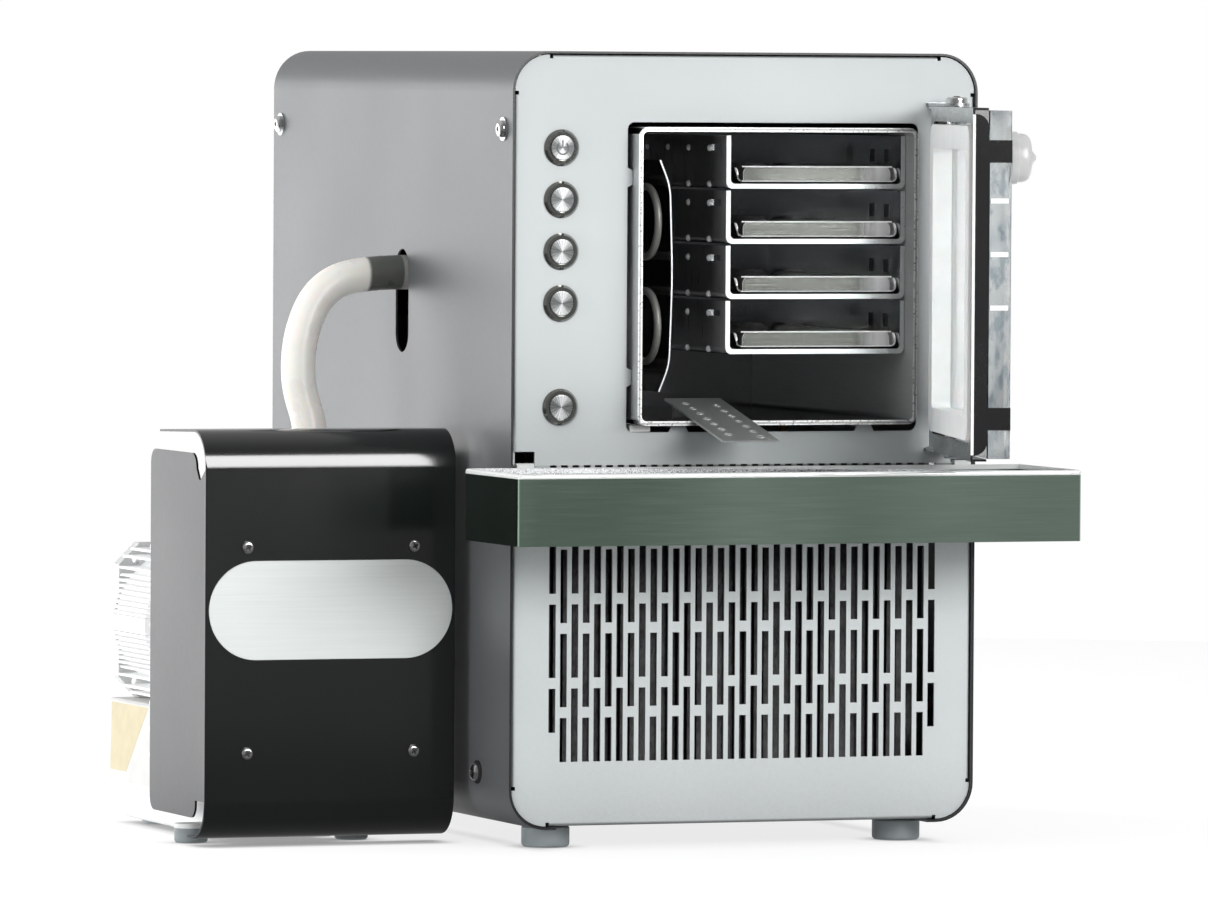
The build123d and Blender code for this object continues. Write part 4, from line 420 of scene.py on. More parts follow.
# rack sides: painted light along their front edge, fading to painted shade deeper inside the chamber
rackSet = {"front": 6.0, "fade": 34.0}
rackFinish, rackTree, rackShader, rackPlace = startFinish("rackSide")
rackGrain = noise(rackTree, stretched(rackTree, rackPlace, (1, 1, 0.05)), 700.0, 4.0, 0.6)
rackShadeShare = ranged(rackTree, parted(rackTree, rackPlace)["Y"], 0.0, 1.0,
                at(0, rackSet["front"], 0).y, at(0, rackSet["fade"], 0).y)
rackLitTone = tinted(rackTree, rackGrain, (0.34, 0.35, 0.35), (0.46, 0.47, 0.47))
rackShadedTone = tinted(rackTree, rackGrain, (0.07, 0.072, 0.072), (0.1, 0.103, 0.103))
rackTree.links.new(blended(rackTree, rackShadeShare, rackLitTone, rackShadedTone), rackShader.inputs["Base Color"])
rackTree.links.new(ranged(rackTree, rackGrain, 0.25, 0.4), rackShader.inputs["Roughness"])
rackShader.inputs["Metallic"].default_value = 0.3
finishes["rackSide"] = rackFinish

wearing = {
    "cabinetPaint": ["cabinet_sleeve", "back_panel"],
    "coverPaint": ["pump_cover"],
    "panelPaint": ["front_panel"],
    "doorPaint": ["door_frame"],
    "chamberSteel": ["vacuum_chamber", "coil_shield", "ramp_guide"],
    "rackSteel": ["tray_rack"],
    "traySteel": ["shelf_tray_1", "shelf_tray_2", "shelf_tray_3", "shelf_tray_4"],
    "dripSteel": ["drip_tray"],
    "rampSteel": ["drain_ramp"],
    "plainSteel": ["hinge_brackets", "hose_clamp", "cover_bracket", "vacuum_port"],
    "screwSteel": ["side_screws", "cover_screws", "pivot_screws"],
    "coilMetal": ["ice_coil"],
    "bezelSteel": ["button_bezels"],
    "badgeSteel": ["cover_badge"],
    "copper": ["refrigerant_lines", "filter_drier"],
    "dullSteel": ["fan_shroud", "base_plate", "power_supply", "chamber_stand"],
    "brass": ["pump_fittings"],
    "finMetal": ["condenser_core"],
    "footRubber": ["cabinet_feet", "pump_feet"],
    "blackRubber": ["rubber_washers", "compressor_mounts", "heater_mats"],
    "blackPlastic": ["condenser_fan", "fan_motor", "oil_filler_cap", "power_inlets", "compressor"],
    "whiteSilicone": ["door_seal"],
    "castWhite": ["pump_base", "oil_case"],
    "motorWhite": ["fan_cowl", "motor_fan", "motor_housing"],
    "castGrey": ["motor_shields"],
    "boxWhite": ["pump_control_box"],
    "knobPlastic": ["door_knob"],
    "board": ["control_board"],
}


def wear(piece, finish):
    piece.data.materials.clear()
    piece.data.materials.append(finish)


def wearWhere(piece, finish, chosen):
    # a second finish on the faces whose middle and direction pass the test
    mesh = piece.data
    mesh.materials.append(finish)
    slot = len(mesh.materials) - 1
    for face in mesh.polygons:
        if chosen(read(face.center), face.normal):
            face.material_index = slot


for finishName, wearers in wearing.items():
    for wearer in wearers:
        wear(nodes[wearer], finishes[finishName])

# second finishes, by place in millimetres: walls, cut edges that catch the light, and the insides of folded sheets;
# several are painted light or shade, as lighter or darker copies of a finish or glowing edges
chamberSet = {"left": -81.8, "right": 121.8, "top": 491.4, "low": 289.2, "innerRight": (100.0, 121.0), "rim": -9.0}
wearWhere(nodes["vacuum_chamber"], finishes["outerSteel"],
          lambda p, n: (p[0] < chamberSet["left"] and n.x < -0.5) or (p[0] > chamberSet["right"] and n.x > 0.5)
          or p[2] > chamberSet["top"] or p[2] < chamberSet["low"])
# painted light: the chamber's inner right wall wears the lighter wall sheen steel
wearWhere(nodes["vacuum_chamber"], finishes["wallSheen"],
          lambda p, n: n.x < -0.5 and chamberSet["innerRight"][0] < p[0] < chamberSet["innerRight"][1])
frontSet = {"rack": 6.5, "rackLeft": -10.0, "shield": 10.5, "tray": 17.0, "sleeve": 0.5, "cover": 82.0}
# painted light and shade on the rack's outer left wall: pale at the front, dim deeper in
wearWhere(nodes["tray_rack"], finishes["rackSide"], lambda p, n: n.x < -0.5 and p[0] < frontSet["rackLeft"])
# front cut edges in the lighter rim steel: a ground finish, partly a painted highlight
wearWhere(nodes["tray_rack"], finishes["rimSteel"], lambda p, n: p[1] < frontSet["rack"] and n.y < -0.3)
wearWhere(nodes["coil_shield"], finishes["rimSteel"], lambda p, n: p[1] < frontSet["shield"] and n.y < -0.5)
# painted highlight: the shelf trays' front top faces and side ends take the glowing edge finish
for level in range(1, 5):
    wearWhere(nodes["shelf_tray_" + str(level)], finishes["brightEdge"],
              lambda p, n: p[1] < frontSet["tray"] and (n.z > 0.25 or abs(n.x) > 0.9))
# painted shade: the sleeve's front edges wear the near-black door paint, darker than the lit copy on its sides
wearWhere(nodes["cabinet_sleeve"], finishes["doorPaint"], lambda p, n: p[1] < frontSet["sleeve"] and n.y < -0.5)
# painted light: the cover's side flange wears a lighter copy of its black paint
wearWhere(nodes["pump_cover"], finishes["flangePaint"], lambda p, n: n.x < -0.5 and p[1] > frontSet["cover"])
wearWhere(nodes["door_frame"], finishes["plainSteel"], lambda p, n: n.x < -0.8)
bowlSet = {"rim": 259.0, "front": -100.0, "back": -20.0}
wearWhere(nodes["drip_tray"], finishes["plainSteel"],
          lambda p, n: p[2] < bowlSet["rim"] and (n.z > 0.5 or (n.y > 0.5 and p[1] < bowlSet["front"])
                                                  or (n.y < -0.5 and p[1] > bowlSet["back"])
                                                  or (n.x * p[0] < 0 and abs(n.x) > 0.5)))
# painted shade: the knob's base ring next to the pane wears the grey cast finish
knobSet = {"across": 0.958, "deep": -0.287, "ring": 4.2}


def alongKnob(point):
    return knobSet["across"] * point[0] + knobSet["deep"] * point[1]


knobStart = min(alongKnob(read(v.co)) for v in nodes["door_knob"].data.vertices)
wearWhere(nodes["door_knob"], finishes["castGrey"], lambda p, n: alongKnob(p) < knobStart + knobSet["ring"])

# the chamber's rim: ground flat, with painted highlights, pale bands in the base colour along both edges and a darker
# middle
rimSet = {"middle": (20.05, 390.3), "half": (99.25, 98.5), "wall": 3.0,
          "inner": (0.9, 0.91, 0.9), "outer": (0.86, 0.87, 0.87),
          "tones": ((0.25, 0.7), (0.45, 0.3), (0.7, 0.32), (0.85, 0.7))}
rimFinish, rimMatTree, rimShader, rimPlace = startFinish("rimHighlightBands")
rimCentred = moved(rimMatTree, rimPlace, "SUBTRACT", at(rimSet["middle"][0], 0, rimSet["middle"][1]))[0]
rimAway = moved(rimMatTree, rimCentred, "ABSOLUTE")[0]
rimInside = moved(rimMatTree, rimAway, "SUBTRACT", (rimSet["half"][0] / 1000, 0, rimSet["half"][1] / 1000))[0]
rimParts = parted(rimMatTree, rimInside)
rimAcross = calculated(rimMatTree, "MAXIMUM", rimParts["X"], rimParts["Z"])
rimHighlightRamp = rimMatTree.nodes.new("ShaderNodeValToRGB")
for end, position, tone in ((0, 0.0, rimSet["inner"]), (1, 1.0, rimSet["outer"])):
    rimHighlightRamp.color_ramp.elements[end].position = position
    rimHighlightRamp.color_ramp.elements[end].color = (*tone, 1)
for place, tone in rimSet["tones"]:
    rimHighlightRamp.color_ramp.elements.new(place).color = (tone, tone * 1.01, tone, 1)
rimMatTree.links.new(ranged(rimMatTree, rimAcross, 0.0, 1.0, 0.0, rimSet["wall"] / 1000), rimHighlightRamp.inputs[0])
rimMatTree.links.new(rimHighlightRamp.outputs[0], rimShader.inputs["Base Color"])
rimShader.inputs["Metallic"].default_value = 0.6
rimMatTree.links.new(ranged(rimMatTree, noise(rimMatTree, rimPlace, 500.0), 0.24, 0.36), rimShader.inputs["Roughness"])
wearWhere(nodes["vacuum_chamber"], rimFinish, lambda p, n: p[1] < chamberSet["rim"] and n.y < -0.3)


# clear acrylic: polished faces with faint handling marks, sawn edges that scatter the light
def acrylic(name, dark, light, smooth, rough):
    finish, tree, shader, place = startFinish(name)
    streak = noise(tree, stretched(tree, place, (1, 1, 0.4)), 130.0, 4.0, 0.6)
    tree.links.new(tinted(tree, streak, dark, light, 0.4, 0.5), shader.inputs["Base Color"])
    tree.links.new(ranged(tree, noise(tree, place, 14.0), smooth, rough), shader.inputs["Roughness"])
    shader.inputs["Transmission Weight"].default_value = 1.0
    shader.inputs["IOR"].default_value = 1.49
    return finish


paneSet = {"edge": 0.7}
wear(nodes["door_pane"], acrylic("clearPane", (0.93, 0.955, 0.95), (0.98, 0.995, 0.99), 0.0, 0.05))
wearWhere(nodes["door_pane"], acrylic("sawnEdge", (0.44, 0.53, 0.6), (1.0, 1.0, 1.0), 0.1, 0.3),
          lambda p, n: abs(n.y) > paneSet["edge"] or abs(n.z) > paneSet["edge"])

# button caps: steel spun on a lathe; painted highlight and shade, lighter and darker wedges fanning out from each
# middle, in the base colour
capSet = {"across": -134.3, "heights": (477.5, 442.3, 407.1, 371.9, 301.5), "fan": 2.0, "start": 0.25, "streak": -0.34,
          "dark": (0.09, 0.095, 0.095), "light": (0.56, 0.57, 0.57), "groove": 0.0002}
for number, height in enumerate(capSet["heights"]):
    capFinish, capTree, capShader, capPlace = startFinish("spunSteel" + str(number + 1))
    centred = moved(capTree, capPlace, "SUBTRACT", at(capSet["across"], 0, height))[0]
    parts = parted(capTree, centred)
    turn = calculated(capTree, "ARCTAN2", parts["Z"], parts["X"])
    capSheenWave = calculated(capTree, "COSINE", calculated(capTree, "MULTIPLY_ADD", turn, capSet["fan"], capSet["start"]))
    flat = moved(capTree, centred, "MULTIPLY", (1, 0, 1))[0]
    streak = noise(capTree, moved(capTree, flat, "NORMALIZE")[0], 16.0, 6.0, 0.75)
    fan = summed(capTree, capSheenWave, streak, capSet["streak"])
    capTree.links.new(tinted(capTree, fan, capSet["dark"], capSet["light"], 0.28, 1.0), capShader.inputs["Base Color"])
    capShader.inputs["Metallic"].default_value = 0.55
    capTree.links.new(ranged(capTree, streak, 0.2, 0.34), capShader.inputs["Roughness"])
    rings = calculated(capTree, "PINGPONG", moved(capTree, flat, "LENGTH")["Value"], capSet["groove"])
    bumped(capTree, capShader, rings, 0.15, 0.2)
    wear(nodes["button_cap_" + str(number + 1)], capFinish)
print("finishes on the frame's nodes")


# small pieces that repeat
def startTree(name, settings):
    # a Geometry Nodes tree with one named input for each setting
    tree = bpy.data.node_groups.new(name, "GeometryNodeTree")
    kinds = {int: "NodeSocketInt", float: "NodeSocketFloat", tuple: "NodeSocketVector"}
    sockets = {}
    for label, value in settings.items():
        made = tree.interface.new_socket(name=label, in_out="INPUT", socket_type=kinds[type(value)])
        sockets[label] = made.identifier
    tree.interface.new_socket(name="Geometry", in_out="OUTPUT", socket_type="NodeSocketGeometry")
    start = tree.nodes.new("NodeGroupInput")
    end = tree.nodes.new("NodeGroupOutput")
    return tree, start, end, sockets


def spread(tree, start, points, instance):
    # one copy on each point, then turned and set in place by the tree's own inputs
    copied = tree.nodes.new("GeometryNodeInstanceOnPoints")
    tree.links.new(points, copied.inputs["Points"])
    tree.links.new(instance, copied.inputs["Instance"])
    seated = tree.nodes.new("GeometryNodeTransform")
    tree.links.new(copied.outputs[0], seated.inputs["Geometry"])
    tree.links.new(start.outputs["Place"], seated.inputs["Translation"])
    tree.links.new(start.outputs["Turn"], seated.inputs["Rotation"])
    return seated.outputs[0]


def endTree(tree, end, geometry, finish):
    real = tree.nodes.new("GeometryNodeRealizeInstances")
    dressed = tree.nodes.new("GeometryNodeSetMaterial")
    dressed.inputs["Material"].default_value = finish
    tree.links.new(geometry, real.inputs[0])
    tree.links.new(real.outputs[0], dressed.inputs["Geometry"])
    tree.links.new(dressed.outputs[0], end.inputs[0])


def grow(name, tree, sockets, settings, body):
    # run the tree once and keep its result as a plain mesh on one body
    seed = linked(name + "Seed", bpy.data.meshes.new(name + "Seed"))
    modifier = seed.modifiers.new("grow", "NODES")
    modifier.node_group = tree
    for label, value in settings.items():
        modifier[sockets[label]] = value
    ready = seed.evaluated_get(bpy.context.evaluated_depsgraph_get())
    mesh = bpy.data.meshes.new_from_object(ready)
    mesh.name = name
    bpy.data.objects.remove(seed)
    piece = linked(name, mesh)
    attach(piece, body)
    return piece


def domeRows(name, settings, finish, body):
    # rows of round heads on one flat face
    tree, start, end, sockets = startTree(name, settings)
    grid = tree.nodes.new("GeometryNodeMeshGrid")
    for label, socket in zip(("Length", "Height", "Columns", "Rows"), ("Size X", "Size Y", "Vertices X", "Vertices Y")):
        tree.links.new(start.outputs[label], grid.inputs[socket])
    head = tree.nodes.new("GeometryNodeMeshUVSphere")
    head.inputs["Segments"].default_value = 16
    head.inputs["Rings"].default_value = 8
    tree.links.new(start.outputs["Head Radius"], head.inputs["Radius"])
    flattened = tree.nodes.new("GeometryNodeTransform")
    flattened.inputs["Scale"].default_value = (1, 1, settings["Flatness"])
    tree.links.new(head.outputs[0], flattened.inputs["Geometry"])
    smooth = tree.nodes.new("GeometryNodeSetShadeSmooth")
    tree.links.new(flattened.outputs[0], smooth.inputs[0])
    endTree(tree, end, spread(tree, start, grid.outputs[0], smooth.outputs[0]), finish)
    return grow(name, tree, sockets, settings, body)


# spot-welded studs on the rack's left side, two rows to each level, in a near-white finish that partly paints the
# glints they catch
studSet = {"levels": 4, "firstLevel": 336.9, "pitch": 37.7, "rises": (2.8, 27.5), "near": 38.0, "step": 40.3,
           "count": 4, "wall": -12.6, "radius": 0.0023, "flatness": 0.8}
for rowNumber, rise in enumerate(studSet["rises"]):
    heightSpan = (studSet["levels"] - 1) * studSet["pitch"] / 1000
    middle = at(studSet["wall"] - 0.1, studSet["near"] + studSet["step"] * (studSet["count"] - 1) / 2,
                studSet["firstLevel"] + rise + heightSpan * 500)
    domeRows("rackStuds" + str(rowNumber + 1), {
        "Length": studSet["step"] * (studSet["count"] - 1) / 1000, "Height": heightSpan,
        "Columns": studSet["count"], "Rows": studSet["levels"],
        "Head Radius": studSet["radius"], "Flatness": studSet["flatness"],
        "Place": tuple(middle), "Turn": (math.pi / 2, 0.0, math.pi / 2),
    }, finishes["studSteel"], "cabinet")
print("rack studs set")


def shadedRecessMarks(name, settings, finish, body, sides=4):
    # painted shade: dark crossed or six-sided marks on screw heads that stand in a rectangle, for the shade in their
    # recesses
    tree, start, end, sockets = startTree(name, settings)
    grid = tree.nodes.new("GeometryNodeMeshGrid")
    grid.inputs["Vertices X"].default_value = settings["Columns"]
    grid.inputs["Vertices Y"].default_value = settings["Rows"]
    tree.links.new(start.outputs["Length"], grid.inputs["Size X"])
    tree.links.new(start.outputs["Height"], grid.inputs["Size Y"])
    joined = tree.nodes.new("GeometryNodeJoinGeometry")
    arms, narrow = (2, recessSet["narrow"]) if sides == 4 else (1, 1.0)
    for arm in range(arms):
        bar = tree.nodes.new("GeometryNodeMeshCone")
        bar.inputs["Vertices"].default_value = sides
        bar.inputs["Radius Top"].default_value = recessSet["taper"]
        bar.inputs["Radius Bottom"].default_value = 1.0
        bar.inputs["Depth"].default_value = 1.0
        shaped = tree.nodes.new("GeometryNodeTransform")
        shaped.inputs["Rotation"].default_value = (0, 0, math.pi / 4)
        tree.links.new(bar.outputs[0], shaped.inputs["Geometry"])
        sized = tree.nodes.new("GeometryNodeTransform")
        sized.inputs["Scale"].default_value = [settings["Arm"] * share for share in (1, narrow, recessSet["deep"])]
        sized.inputs["Rotation"].default_value = (0, 0, recessSet["turn"] + arm * math.pi / 2)
        tree.links.new(shaped.outputs[0], sized.inputs["Geometry"])
        tree.links.new(sized.outputs[0], joined.inputs[0])
    endTree(tree, end, spread(tree, start, grid.outputs[0], joined.outputs[0]), finish)
    return grow(name, tree, sockets, settings, body)


recessSet = {"narrow": 0.36, "taper": 0.6, "deep": 0.2, "turn": 0.5, "side": 174.6, "middle": 255.0}
recessShade = plainFinish("recessShade", {"dark": (0.015, 0.015, 0.015), "light": (0.04, 0.04, 0.04),
                                        "smooth": 0.4, "rough": 0.6, "cloud": 400.0})
shadedRecessMarks("coverScrewRecess", {
    "Length": 0.12, "Height": 0.1405, "Columns": 2, "Rows": 2, "Arm": 0.0031,
    "Place": tuple(at(-271.0, 77.45, 134.25)), "Turn": (math.pi / 2, 0.0, 0.0),
}, recessShade, "cabinet")
for sideName, side in (("left", -1), ("right", 1)):
    for rowName, length, height in (("ScrewRecess", 0.475, 490.0), ("LowScrewRecess", 0.384, 50.0)):
        shadedRecessMarks(sideName + rowName, {
            "Length": length, "Height": 0.0, "Columns": 2, "Rows": 1, "Arm": 0.0024,
            "Place": tuple(at(side * recessSet["side"], recessSet["middle"], height)),
            "Turn": (math.pi / 2, 0.0, side * math.pi / 2),
        }, recessShade, "cabinet", 6)
shadedRecessMarks("pivotScrewRecess", {
    "Length": 0.0, "Height": 0.0, "Columns": 1, "Rows": 1, "Arm": 0.0042,
    "Place": tuple(at(141.8, -30.5, 513.15)), "Turn": (0.0, 0.0, 0.0),
}, recessShade, "cabinet")
print("screw recesses set")

# raised rims round the ramp's drain holes, in two staggered rows
rampSet = {"across": -22.0, "proud": 10.0, "floor": 292.1, "slope": 12.5, "out": 60.0, "width": 41.0, "thick": 1.5,
           "holes": 7, "pitch": 14.0, "rim": 2.65, "wire": 0.32, "rows": ((1, 10.0), (-1, 17.0))}
rimValues = {"Holes": rampSet["holes"], "Pitch": rampSet["pitch"] / 1000, "Rim Radius": rampSet["rim"] / 1000,
             "Wire Radius": rampSet["wire"] / 1000,
             "Place": tuple(at(rampSet["across"], -rampSet["proud"], rampSet["floor"])),
             "Turn": (math.radians(rampSet["slope"]), 0.0, 0.0)}
rimTree, rimStart, rimEnd, rimSockets = startTree("rampRims", rimValues)
rimLines = rimTree.nodes.new("GeometryNodeJoinGeometry")
for side, first in rampSet["rows"]:
    line = rimTree.nodes.new("GeometryNodeMeshLine")
    line.inputs["Start Location"].default_value = (
        side * rampSet["width"] / 4000, (first - rampSet["out"]) / 1000, rampSet["thick"] / 1000)
    rimTree.links.new(rimStart.outputs["Holes"], line.inputs["Count"])
    stepVector = rimTree.nodes.new("ShaderNodeCombineXYZ")
    rimTree.links.new(rimStart.outputs["Pitch"], stepVector.inputs["Y"])
    rimTree.links.new(stepVector.outputs[0], line.inputs["Offset"])
    rimTree.links.new(line.outputs[0], rimLines.inputs[0])
rimSwept = rimTree.nodes.new("GeometryNodeCurveToMesh")
for label, segments, socket in (("Rim Radius", 20, "Curve"), ("Wire Radius", 8, "Profile Curve")):
    circle = rimTree.nodes.new("GeometryNodeCurvePrimitiveCircle")
    circle.inputs["Resolution"].default_value = segments
    rimTree.links.new(rimStart.outputs[label], circle.inputs["Radius"])
    rimTree.links.new(circle.outputs[0], rimSwept.inputs[socket])
rimSmooth = rimTree.nodes.new("GeometryNodeSetShadeSmooth")
rimTree.links.new(rimSwept.outputs[0], rimSmooth.inputs[0])
rimSpread = spread(rimTree, rimStart, rimLines.outputs[0], rimSmooth.outputs[0])
endTree(rimTree, rimEnd, rimSpread, finishes["rimSteel"])
grow("rampRims", rimTree, rimSockets, rimValues, "ramp")
print("ramp rims set")


# single small pieces
def meshPiece(name, points, faces, finish, body, bevel=0.0):
    mesh = bpy.data.meshes.new(name)
    mesh.from_pydata([tuple(point) for point in points], [], faces)
    piece = linked(name, mesh)
    wear(piece, finish)
    if bevel:
        rounding = piece.modifiers.new("rounding", "BEVEL")
        rounding.width = bevel
        rounding.segments = 2
    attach(piece, body)
    return piece


def slab(name, outline, raised, finish, body, bevel=0.0):
    # a flat outline and its copy moved by one vector, closed round the edge
    count = len(outline)
    points = [Vector(point) for point in outline] + [Vector(point) + Vector(raised) for point in outline]
    faces = [tuple(range(count - 1, -1, -1)), tuple(range(count, 2 * count))]
    faces += [(i, (i + 1) % count, (i + 1) % count + count, i + count) for i in range(count)]
    piece = meshPiece(name, points, faces, finish, body, bevel)
    volume = sum(face.center.dot(face.normal) * face.area for face in piece.data.polygons)
    if volume < 0:
        piece.data.flip_normals()
    return piece


def rectangle(left, right, low, high):
    return (left, low), (right, low), (right, high), (left, high)


def alongEdge(settings, steps):
    # an outline on the open door, as steps along its edge and out of it
    return [tuple(settings["corner"][axis] + settings["along"][axis] * a + settings["out"][axis] * o for axis in (0, 1))
            for a, o in steps]


# power mark on the top cap: an open ring with a bar
markSet = {"across": -134.3, "height": 477.2, "face": -1.5, "lift": 0.06, "ring": 4.1, "line": 1.05, "open": 36.0,
           "steps": 28, "bar": 4.9, "barLow": 0.6, "barHalf": 0.5}
markFinish = plainFinish("markInk", {"dark": (0.03, 0.035, 0.035), "light": (0.06, 0.065, 0.065),
                                     "smooth": 0.3, "rough": 0.4})
markPoints = []
markFaces = []
for i in range(markSet["steps"] + 1):
    angle = math.radians(90 + markSet["open"] + (360 - 2 * markSet["open"]) * i / markSet["steps"])
    for radius in (markSet["ring"] - markSet["line"] / 2, markSet["ring"] + markSet["line"] / 2):
        for lift in (0.0, markSet["lift"]):
            markPoints.append(at(markSet["across"] + radius * math.cos(angle), markSet["face"] - lift,
                                 markSet["height"] + radius * math.sin(angle)))
    if i:
        a, b = 4 * (i - 1), 4 * i
        markFaces += [(a + 1, b + 1, b + 3, a + 3), (a, a + 2, b + 2, b),
                      (a, b, b + 1, a + 1), (a + 2, a + 3, b + 3, b + 2)]
last = 4 * markSet["steps"]
markFaces += [(0, 1, 3, 2), (last, last + 2, last + 3, last + 1)]
meshPiece("powerRing", markPoints, markFaces, markFinish, "button_1")
barLow = markSet["height"] + markSet["barLow"]
barOutline = rectangle(-markSet["barHalf"], markSet["barHalf"], barLow, barLow + markSet["bar"])
slab("powerBar", [at(markSet["across"] + x, markSet["face"], z) for x, z in barOutline],
     (0, -markSet["lift"] / 1000, 0), markFinish, "button_1")

# painted highlight: a glowing pale strip down the door's free side
edgeSet = {"corner": (64.6, -248.4), "along": (0.95, -0.3), "out": (-0.3, -0.95), "wide": 1.9, "thick": 0.35,
           "low": 276.5, "high": 502.5}
wide, thick = edgeSet["wide"], edgeSet["thick"]
edgeOutline = alongEdge(edgeSet, ((0, 0), (0, thick), (wide, thick), (wide, 0)))
slab("doorEdge", [at(x, d, edgeSet["low"]) for x, d in edgeOutline], (0, 0, (edgeSet["high"] - edgeSet["low"]) / 1000),
     finishes["brightEdge"], "door")

# painted highlights: glowing pale strips along the top and foot of each shelf tray's front
trayRimSet = {"front": 11.2, "top": 0.8, "foot": 0.5, "inset": 3.6, "lift": 0.12}
for level in range(1, 5):
    corners = [read(v.co) for v in nodes["shelf_tray_" + str(level)].data.vertices]
    acrosses, depths, heights = zip(*(p for p in corners if p[1] < trayRimSet["front"]))
    rimLeft = min(acrosses) + trayRimSet["inset"]
    rimRight = max(acrosses) - trayRimSet["inset"]
    for rimName, low, high in (("Top", max(heights) - trayRimSet["top"], max(heights)),
                               ("Foot", min(heights), min(heights) + trayRimSet["foot"])):
        rimOutline = [at(x, min(depths), z) for x, z in rectangle(rimLeft, rimRight, low, high)]
        slab("trayRim" + rimName + str(level), rimOutline,
             (0, -trayRimSet["lift"] / 1000, 0), finishes["brightEdge"], "cabinet")

# painted glints: white glowing ticks on the pane's free edge
glintSet = {"corner": (76.3, -250.0), "along": (0.966, -0.258), "out": (-0.258, -0.966), "from": 0.8, "to": 12.8,
             "sunk": -0.2, "thick": 0.5, "tall": 3.4, "heights": (443.5, 408.0, 372.5), "round": 0.0002}
glintOutline = alongEdge(glintSet, ((glintSet["from"], glintSet["sunk"]), (glintSet["from"], glintSet["thick"]),
                                      (glintSet["to"], glintSet["thick"]), (glintSet["to"], glintSet["sunk"])))
for number, height in enumerate(glintSet["heights"]):
    slab("paneGlint" + str(number + 1), [at(x, d, height) for x, d in glintOutline], (0, 0, glintSet["tall"] / 1000),
         finishes["brightEdge"], "door", glintSet["round"])

# strip of white foam tape in the panel's opening, with hand-cut corners
foamSet = {"front": 2.4, "back": 9.0, "round": 0.0003, "outline": (
    (-83.3, 284.7), (-82.7, 284.2), (-69.0, 284.2), (-68.2, 284.8), (-68.5, 288.6), (-83.3, 288.6))}
foamFinish = plainFinish("foamTape", {"dark": (0.84, 0.85, 0.84), "light": (0.9, 0.91, 0.9),
                                      "smooth": 0.6, "rough": 0.8, "cloud": 300.0, "texture": 0.5})
slab("foamStrip", [at(x, foamSet["front"], z) for x, z in foamSet["outline"]],
     (0, (foamSet["back"] - foamSet["front"]) / 1000, 0), foamFinish, "cabinet", foamSet["round"])

# bare colour field on the control box's left side, cut off along a slant
fieldSet = {"wall": -343.0, "thick": 0.12, "outline": ((345.0, 84.5), (262.0, 84.5), (312.0, 37.0), (348.0, 37.0))}
fieldFinish = plainFinish("fieldPaper", {"dark": (0.56, 0.5, 0.35), "light": (0.62, 0.56, 0.4),
                                         "smooth": 0.6, "rough": 0.75, "gloss": 0.15, "cloud": 90.0})
slab("plainField", [at(fieldSet["wall"], d, z) for d, z in fieldSet["outline"]],
     (-fieldSet["thick"] / 1000, 0, 0), fieldFinish, "cabinet")

# painted shade: a black sheet behind the upper louvres, so the openings read dark
screenSet = {"half": 112.0, "low": 352.0, "high": 464.0, "face": 505.6, "thick": 1.0, "round": 0.0003}
screenOutline = rectangle(-screenSet["half"], screenSet["half"], screenSet["low"], screenSet["high"])
slab("louvreShadeSheet", [at(x, screenSet["face"], z) for x, z in screenOutline],
     (0, -screenSet["thick"] / 1000, 0), finishes["blackRubber"], "cabinet", screenSet["round"])
print("small pieces set")

# hose: the same route as the tube in the frame
hoseSet = {"radius": 0.012, "port": (-198.5, -196.5), "lip": (-199.5, -195.5), "mouth": (-172.5, -171.8)}
hoseRoute = [(-162, 226, 388.7), (-206, 226, 388.7), (-232.5, 225, 375), (-246, 223, 346), (-249, 220.5, 312),
             (-239.5, 217.5, 282), (-243, 213, 258), (-243, 213, 236)]
hoseCurve = bpy.data.curves.new("vacuumHose", "CURVE")
hoseCurve.dimensions = "3D"
hoseCurve.bevel_depth = hoseSet["radius"]
hoseCurve.bevel_resolution = 8
hoseCurve.resolution_u = 24
hoseCurve.use_fill_caps = True
hoseLine = hoseCurve.splines.new("NURBS")
hoseLine.points.add(len(hoseRoute) - 1)
for point, place in zip(hoseLine.points, hoseRoute):
    point.co = (*at(*place), 1)
hoseLine.order_u = 3
hoseLine.use_endpoint_u = True
hose = linked("vacuumHose", hoseCurve)
hoseFinish, hoseTree, hoseShader, hosePlace = startFinish("hoseRubber")
hoseCloud = noise(hoseTree, hosePlace, 40.0)
hosePale = tinted(hoseTree, hoseCloud, (0.84, 0.83, 0.78), (0.9, 0.89, 0.84))
hoseDim = tinted(hoseTree, hoseCloud, (0.1, 0.108, 0.098), (0.15, 0.158, 0.146))
hoseAcross = parted(hoseTree, hosePlace)["X"]


def hoseBand(span, low, high):
    # a share that changes between two places across
    return ranged(hoseTree, hoseAcross, low, high, at(span[0], 0, 0).x, at(span[1], 0, 0).x)


ringed = calculated(hoseTree, "MULTIPLY", hoseBand(hoseSet["port"], 0.0, 1.0), hoseBand(hoseSet["lip"], 0.45, 1.0))
portShare = calculated(hoseTree, "MULTIPLY", ringed, hoseBand(hoseSet["mouth"], 1.0, 0.7))
hoseTree.links.new(blended(hoseTree, portShare, hosePale, hoseDim), hoseShader.inputs["Base Color"])
hoseTree.links.new(ranged(hoseTree, hoseCloud, 0.22, 0.36), hoseShader.inputs["Roughness"])
hoseShader.inputs["Subsurface Weight"].default_value = 0.4
hoseShader.inputs["Subsurface Scale"].default_value = 0.006
hoseShader.inputs["Emission Color"].default_value = (1.0, 0.98, 0.93, 1)  # painted light: the milky wall glows faintly, fading out over the port sleeve
hoseTree.links.new(ranged(hoseTree, portShare, 0.08, 0.0, 0.0, 1.0), hoseShader.inputs["Emission Strength"])
hoseCurve.materials.append(hoseFinish)
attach(hose, "cabinet")
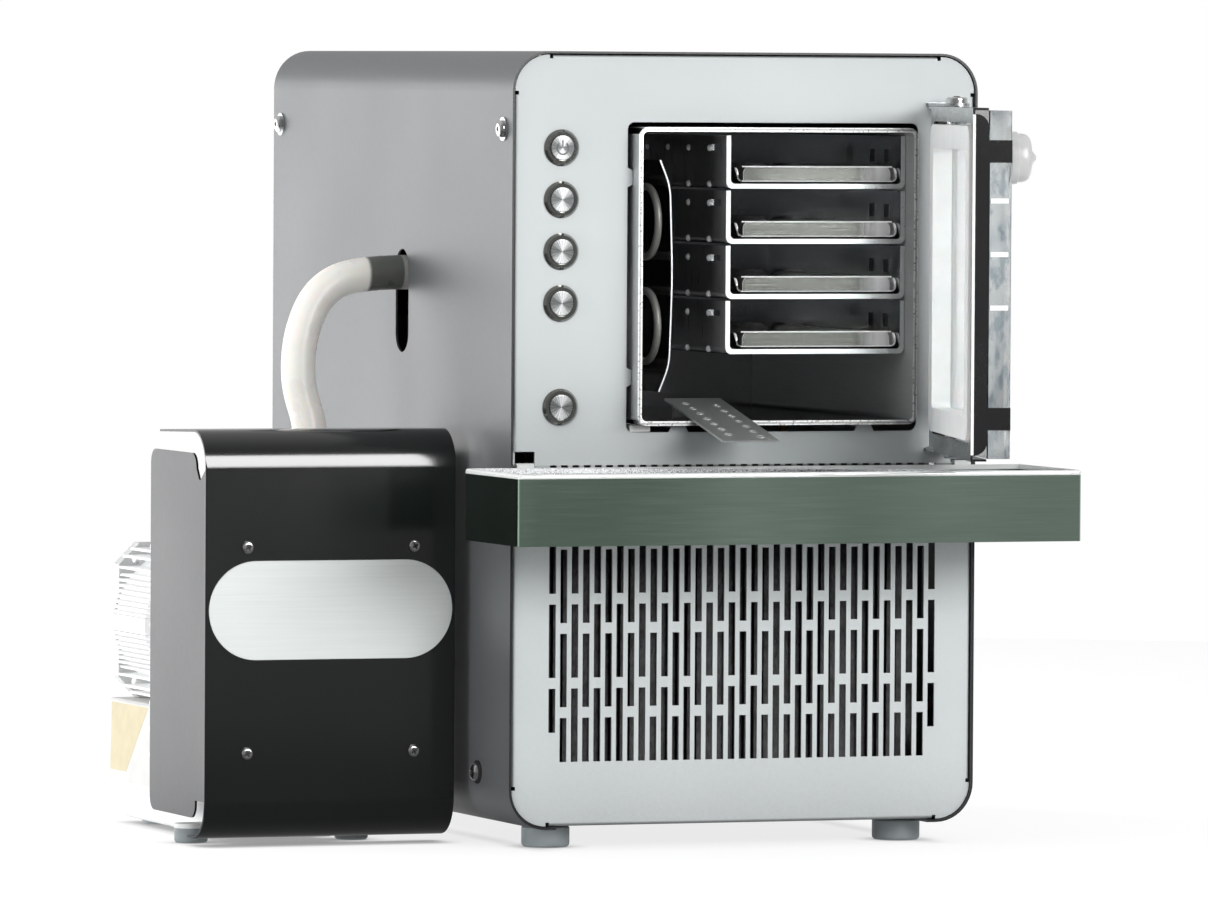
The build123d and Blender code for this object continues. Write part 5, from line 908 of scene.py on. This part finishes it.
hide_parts("vacuum_hose")
print("hose laid")

# floor: white to the eye, and it keeps the shadows close to what stands on it
floorSet = {"reach": 2.6, "front": 1.0, "drop": 0.0003, "corners": 64, "bounce": 0.22, "near": 0.1, "far": 1.9,
            "contact": 0.016, "shade": 0.25, "glow": 0.8, "paper": 0.3}
floorMesh = bpy.data.meshes.new("floor")
floorAngles = [math.tau * i / floorSet["corners"] for i in range(floorSet["corners"])]
floorRing = [(floorSet["reach"] * math.cos(angle), max(floorSet["reach"] * math.sin(angle), -floorSet["front"]),
              -floorSet["drop"]) for angle in floorAngles]
floorMesh.from_pydata(floorRing, [], [tuple(range(floorSet["corners"]))])
floor = linked("floor", floorMesh)
floorFinish, floorTree, floorShader, floorPlace = startFinish("floorPaper")
floorShader.inputs["Base Color"].default_value = (0.88, 0.88, 0.88, 1)
floorShader.inputs["Roughness"].default_value = 0.9
floorShader.inputs["Emission Color"].default_value = (1, 1, 1, 1)
floorShader.inputs["Emission Strength"].default_value = floorSet["bounce"]
contact = floorTree.nodes.new("ShaderNodeAmbientOcclusion")
contact.samples = 12
contact.inputs["Distance"].default_value = floorSet["contact"]
glow = floorTree.nodes.new("ShaderNodeEmission")
floorTree.links.new(ranged(floorTree, contact.outputs["AO"], floorSet["shade"], floorSet["glow"], 0.15, 1.0),
                    glow.inputs["Strength"])
paper = floorTree.nodes.new("ShaderNodeBsdfDiffuse")
paper.inputs["Color"].default_value = (floorSet["paper"], floorSet["paper"], floorSet["paper"], 1)
floorSum = floorTree.nodes.new("ShaderNodeAddShader")
floorTree.links.new(glow.outputs[0], floorSum.inputs[0])
floorTree.links.new(paper.outputs[0], floorSum.inputs[1])

# gloss sees it dark in front of the machine and bright behind it, as under a lamp set far back
sheen = floorTree.nodes.new("ShaderNodeEmission")
sheenDeep = parted(floorTree, floorPlace)["Y"]
floorTree.links.new(ranged(floorTree, sheenDeep, floorSet["near"], floorSet["far"], -0.05, 0.5),
                    sheen.inputs["Strength"])
floorRays, floorSeen = cameraOrGlass(floorTree)
floorUnseen = mixedBy(floorTree, floorRays.outputs["Is Glossy Ray"], floorShader.outputs[0], sheen.outputs[0])
floorTree.links.new(mixedBy(floorTree, floorSeen, floorUnseen, floorSum.outputs[0]),
                    floorTree.nodes["Material Output"].inputs["Surface"])
wear(floor, floorFinish)
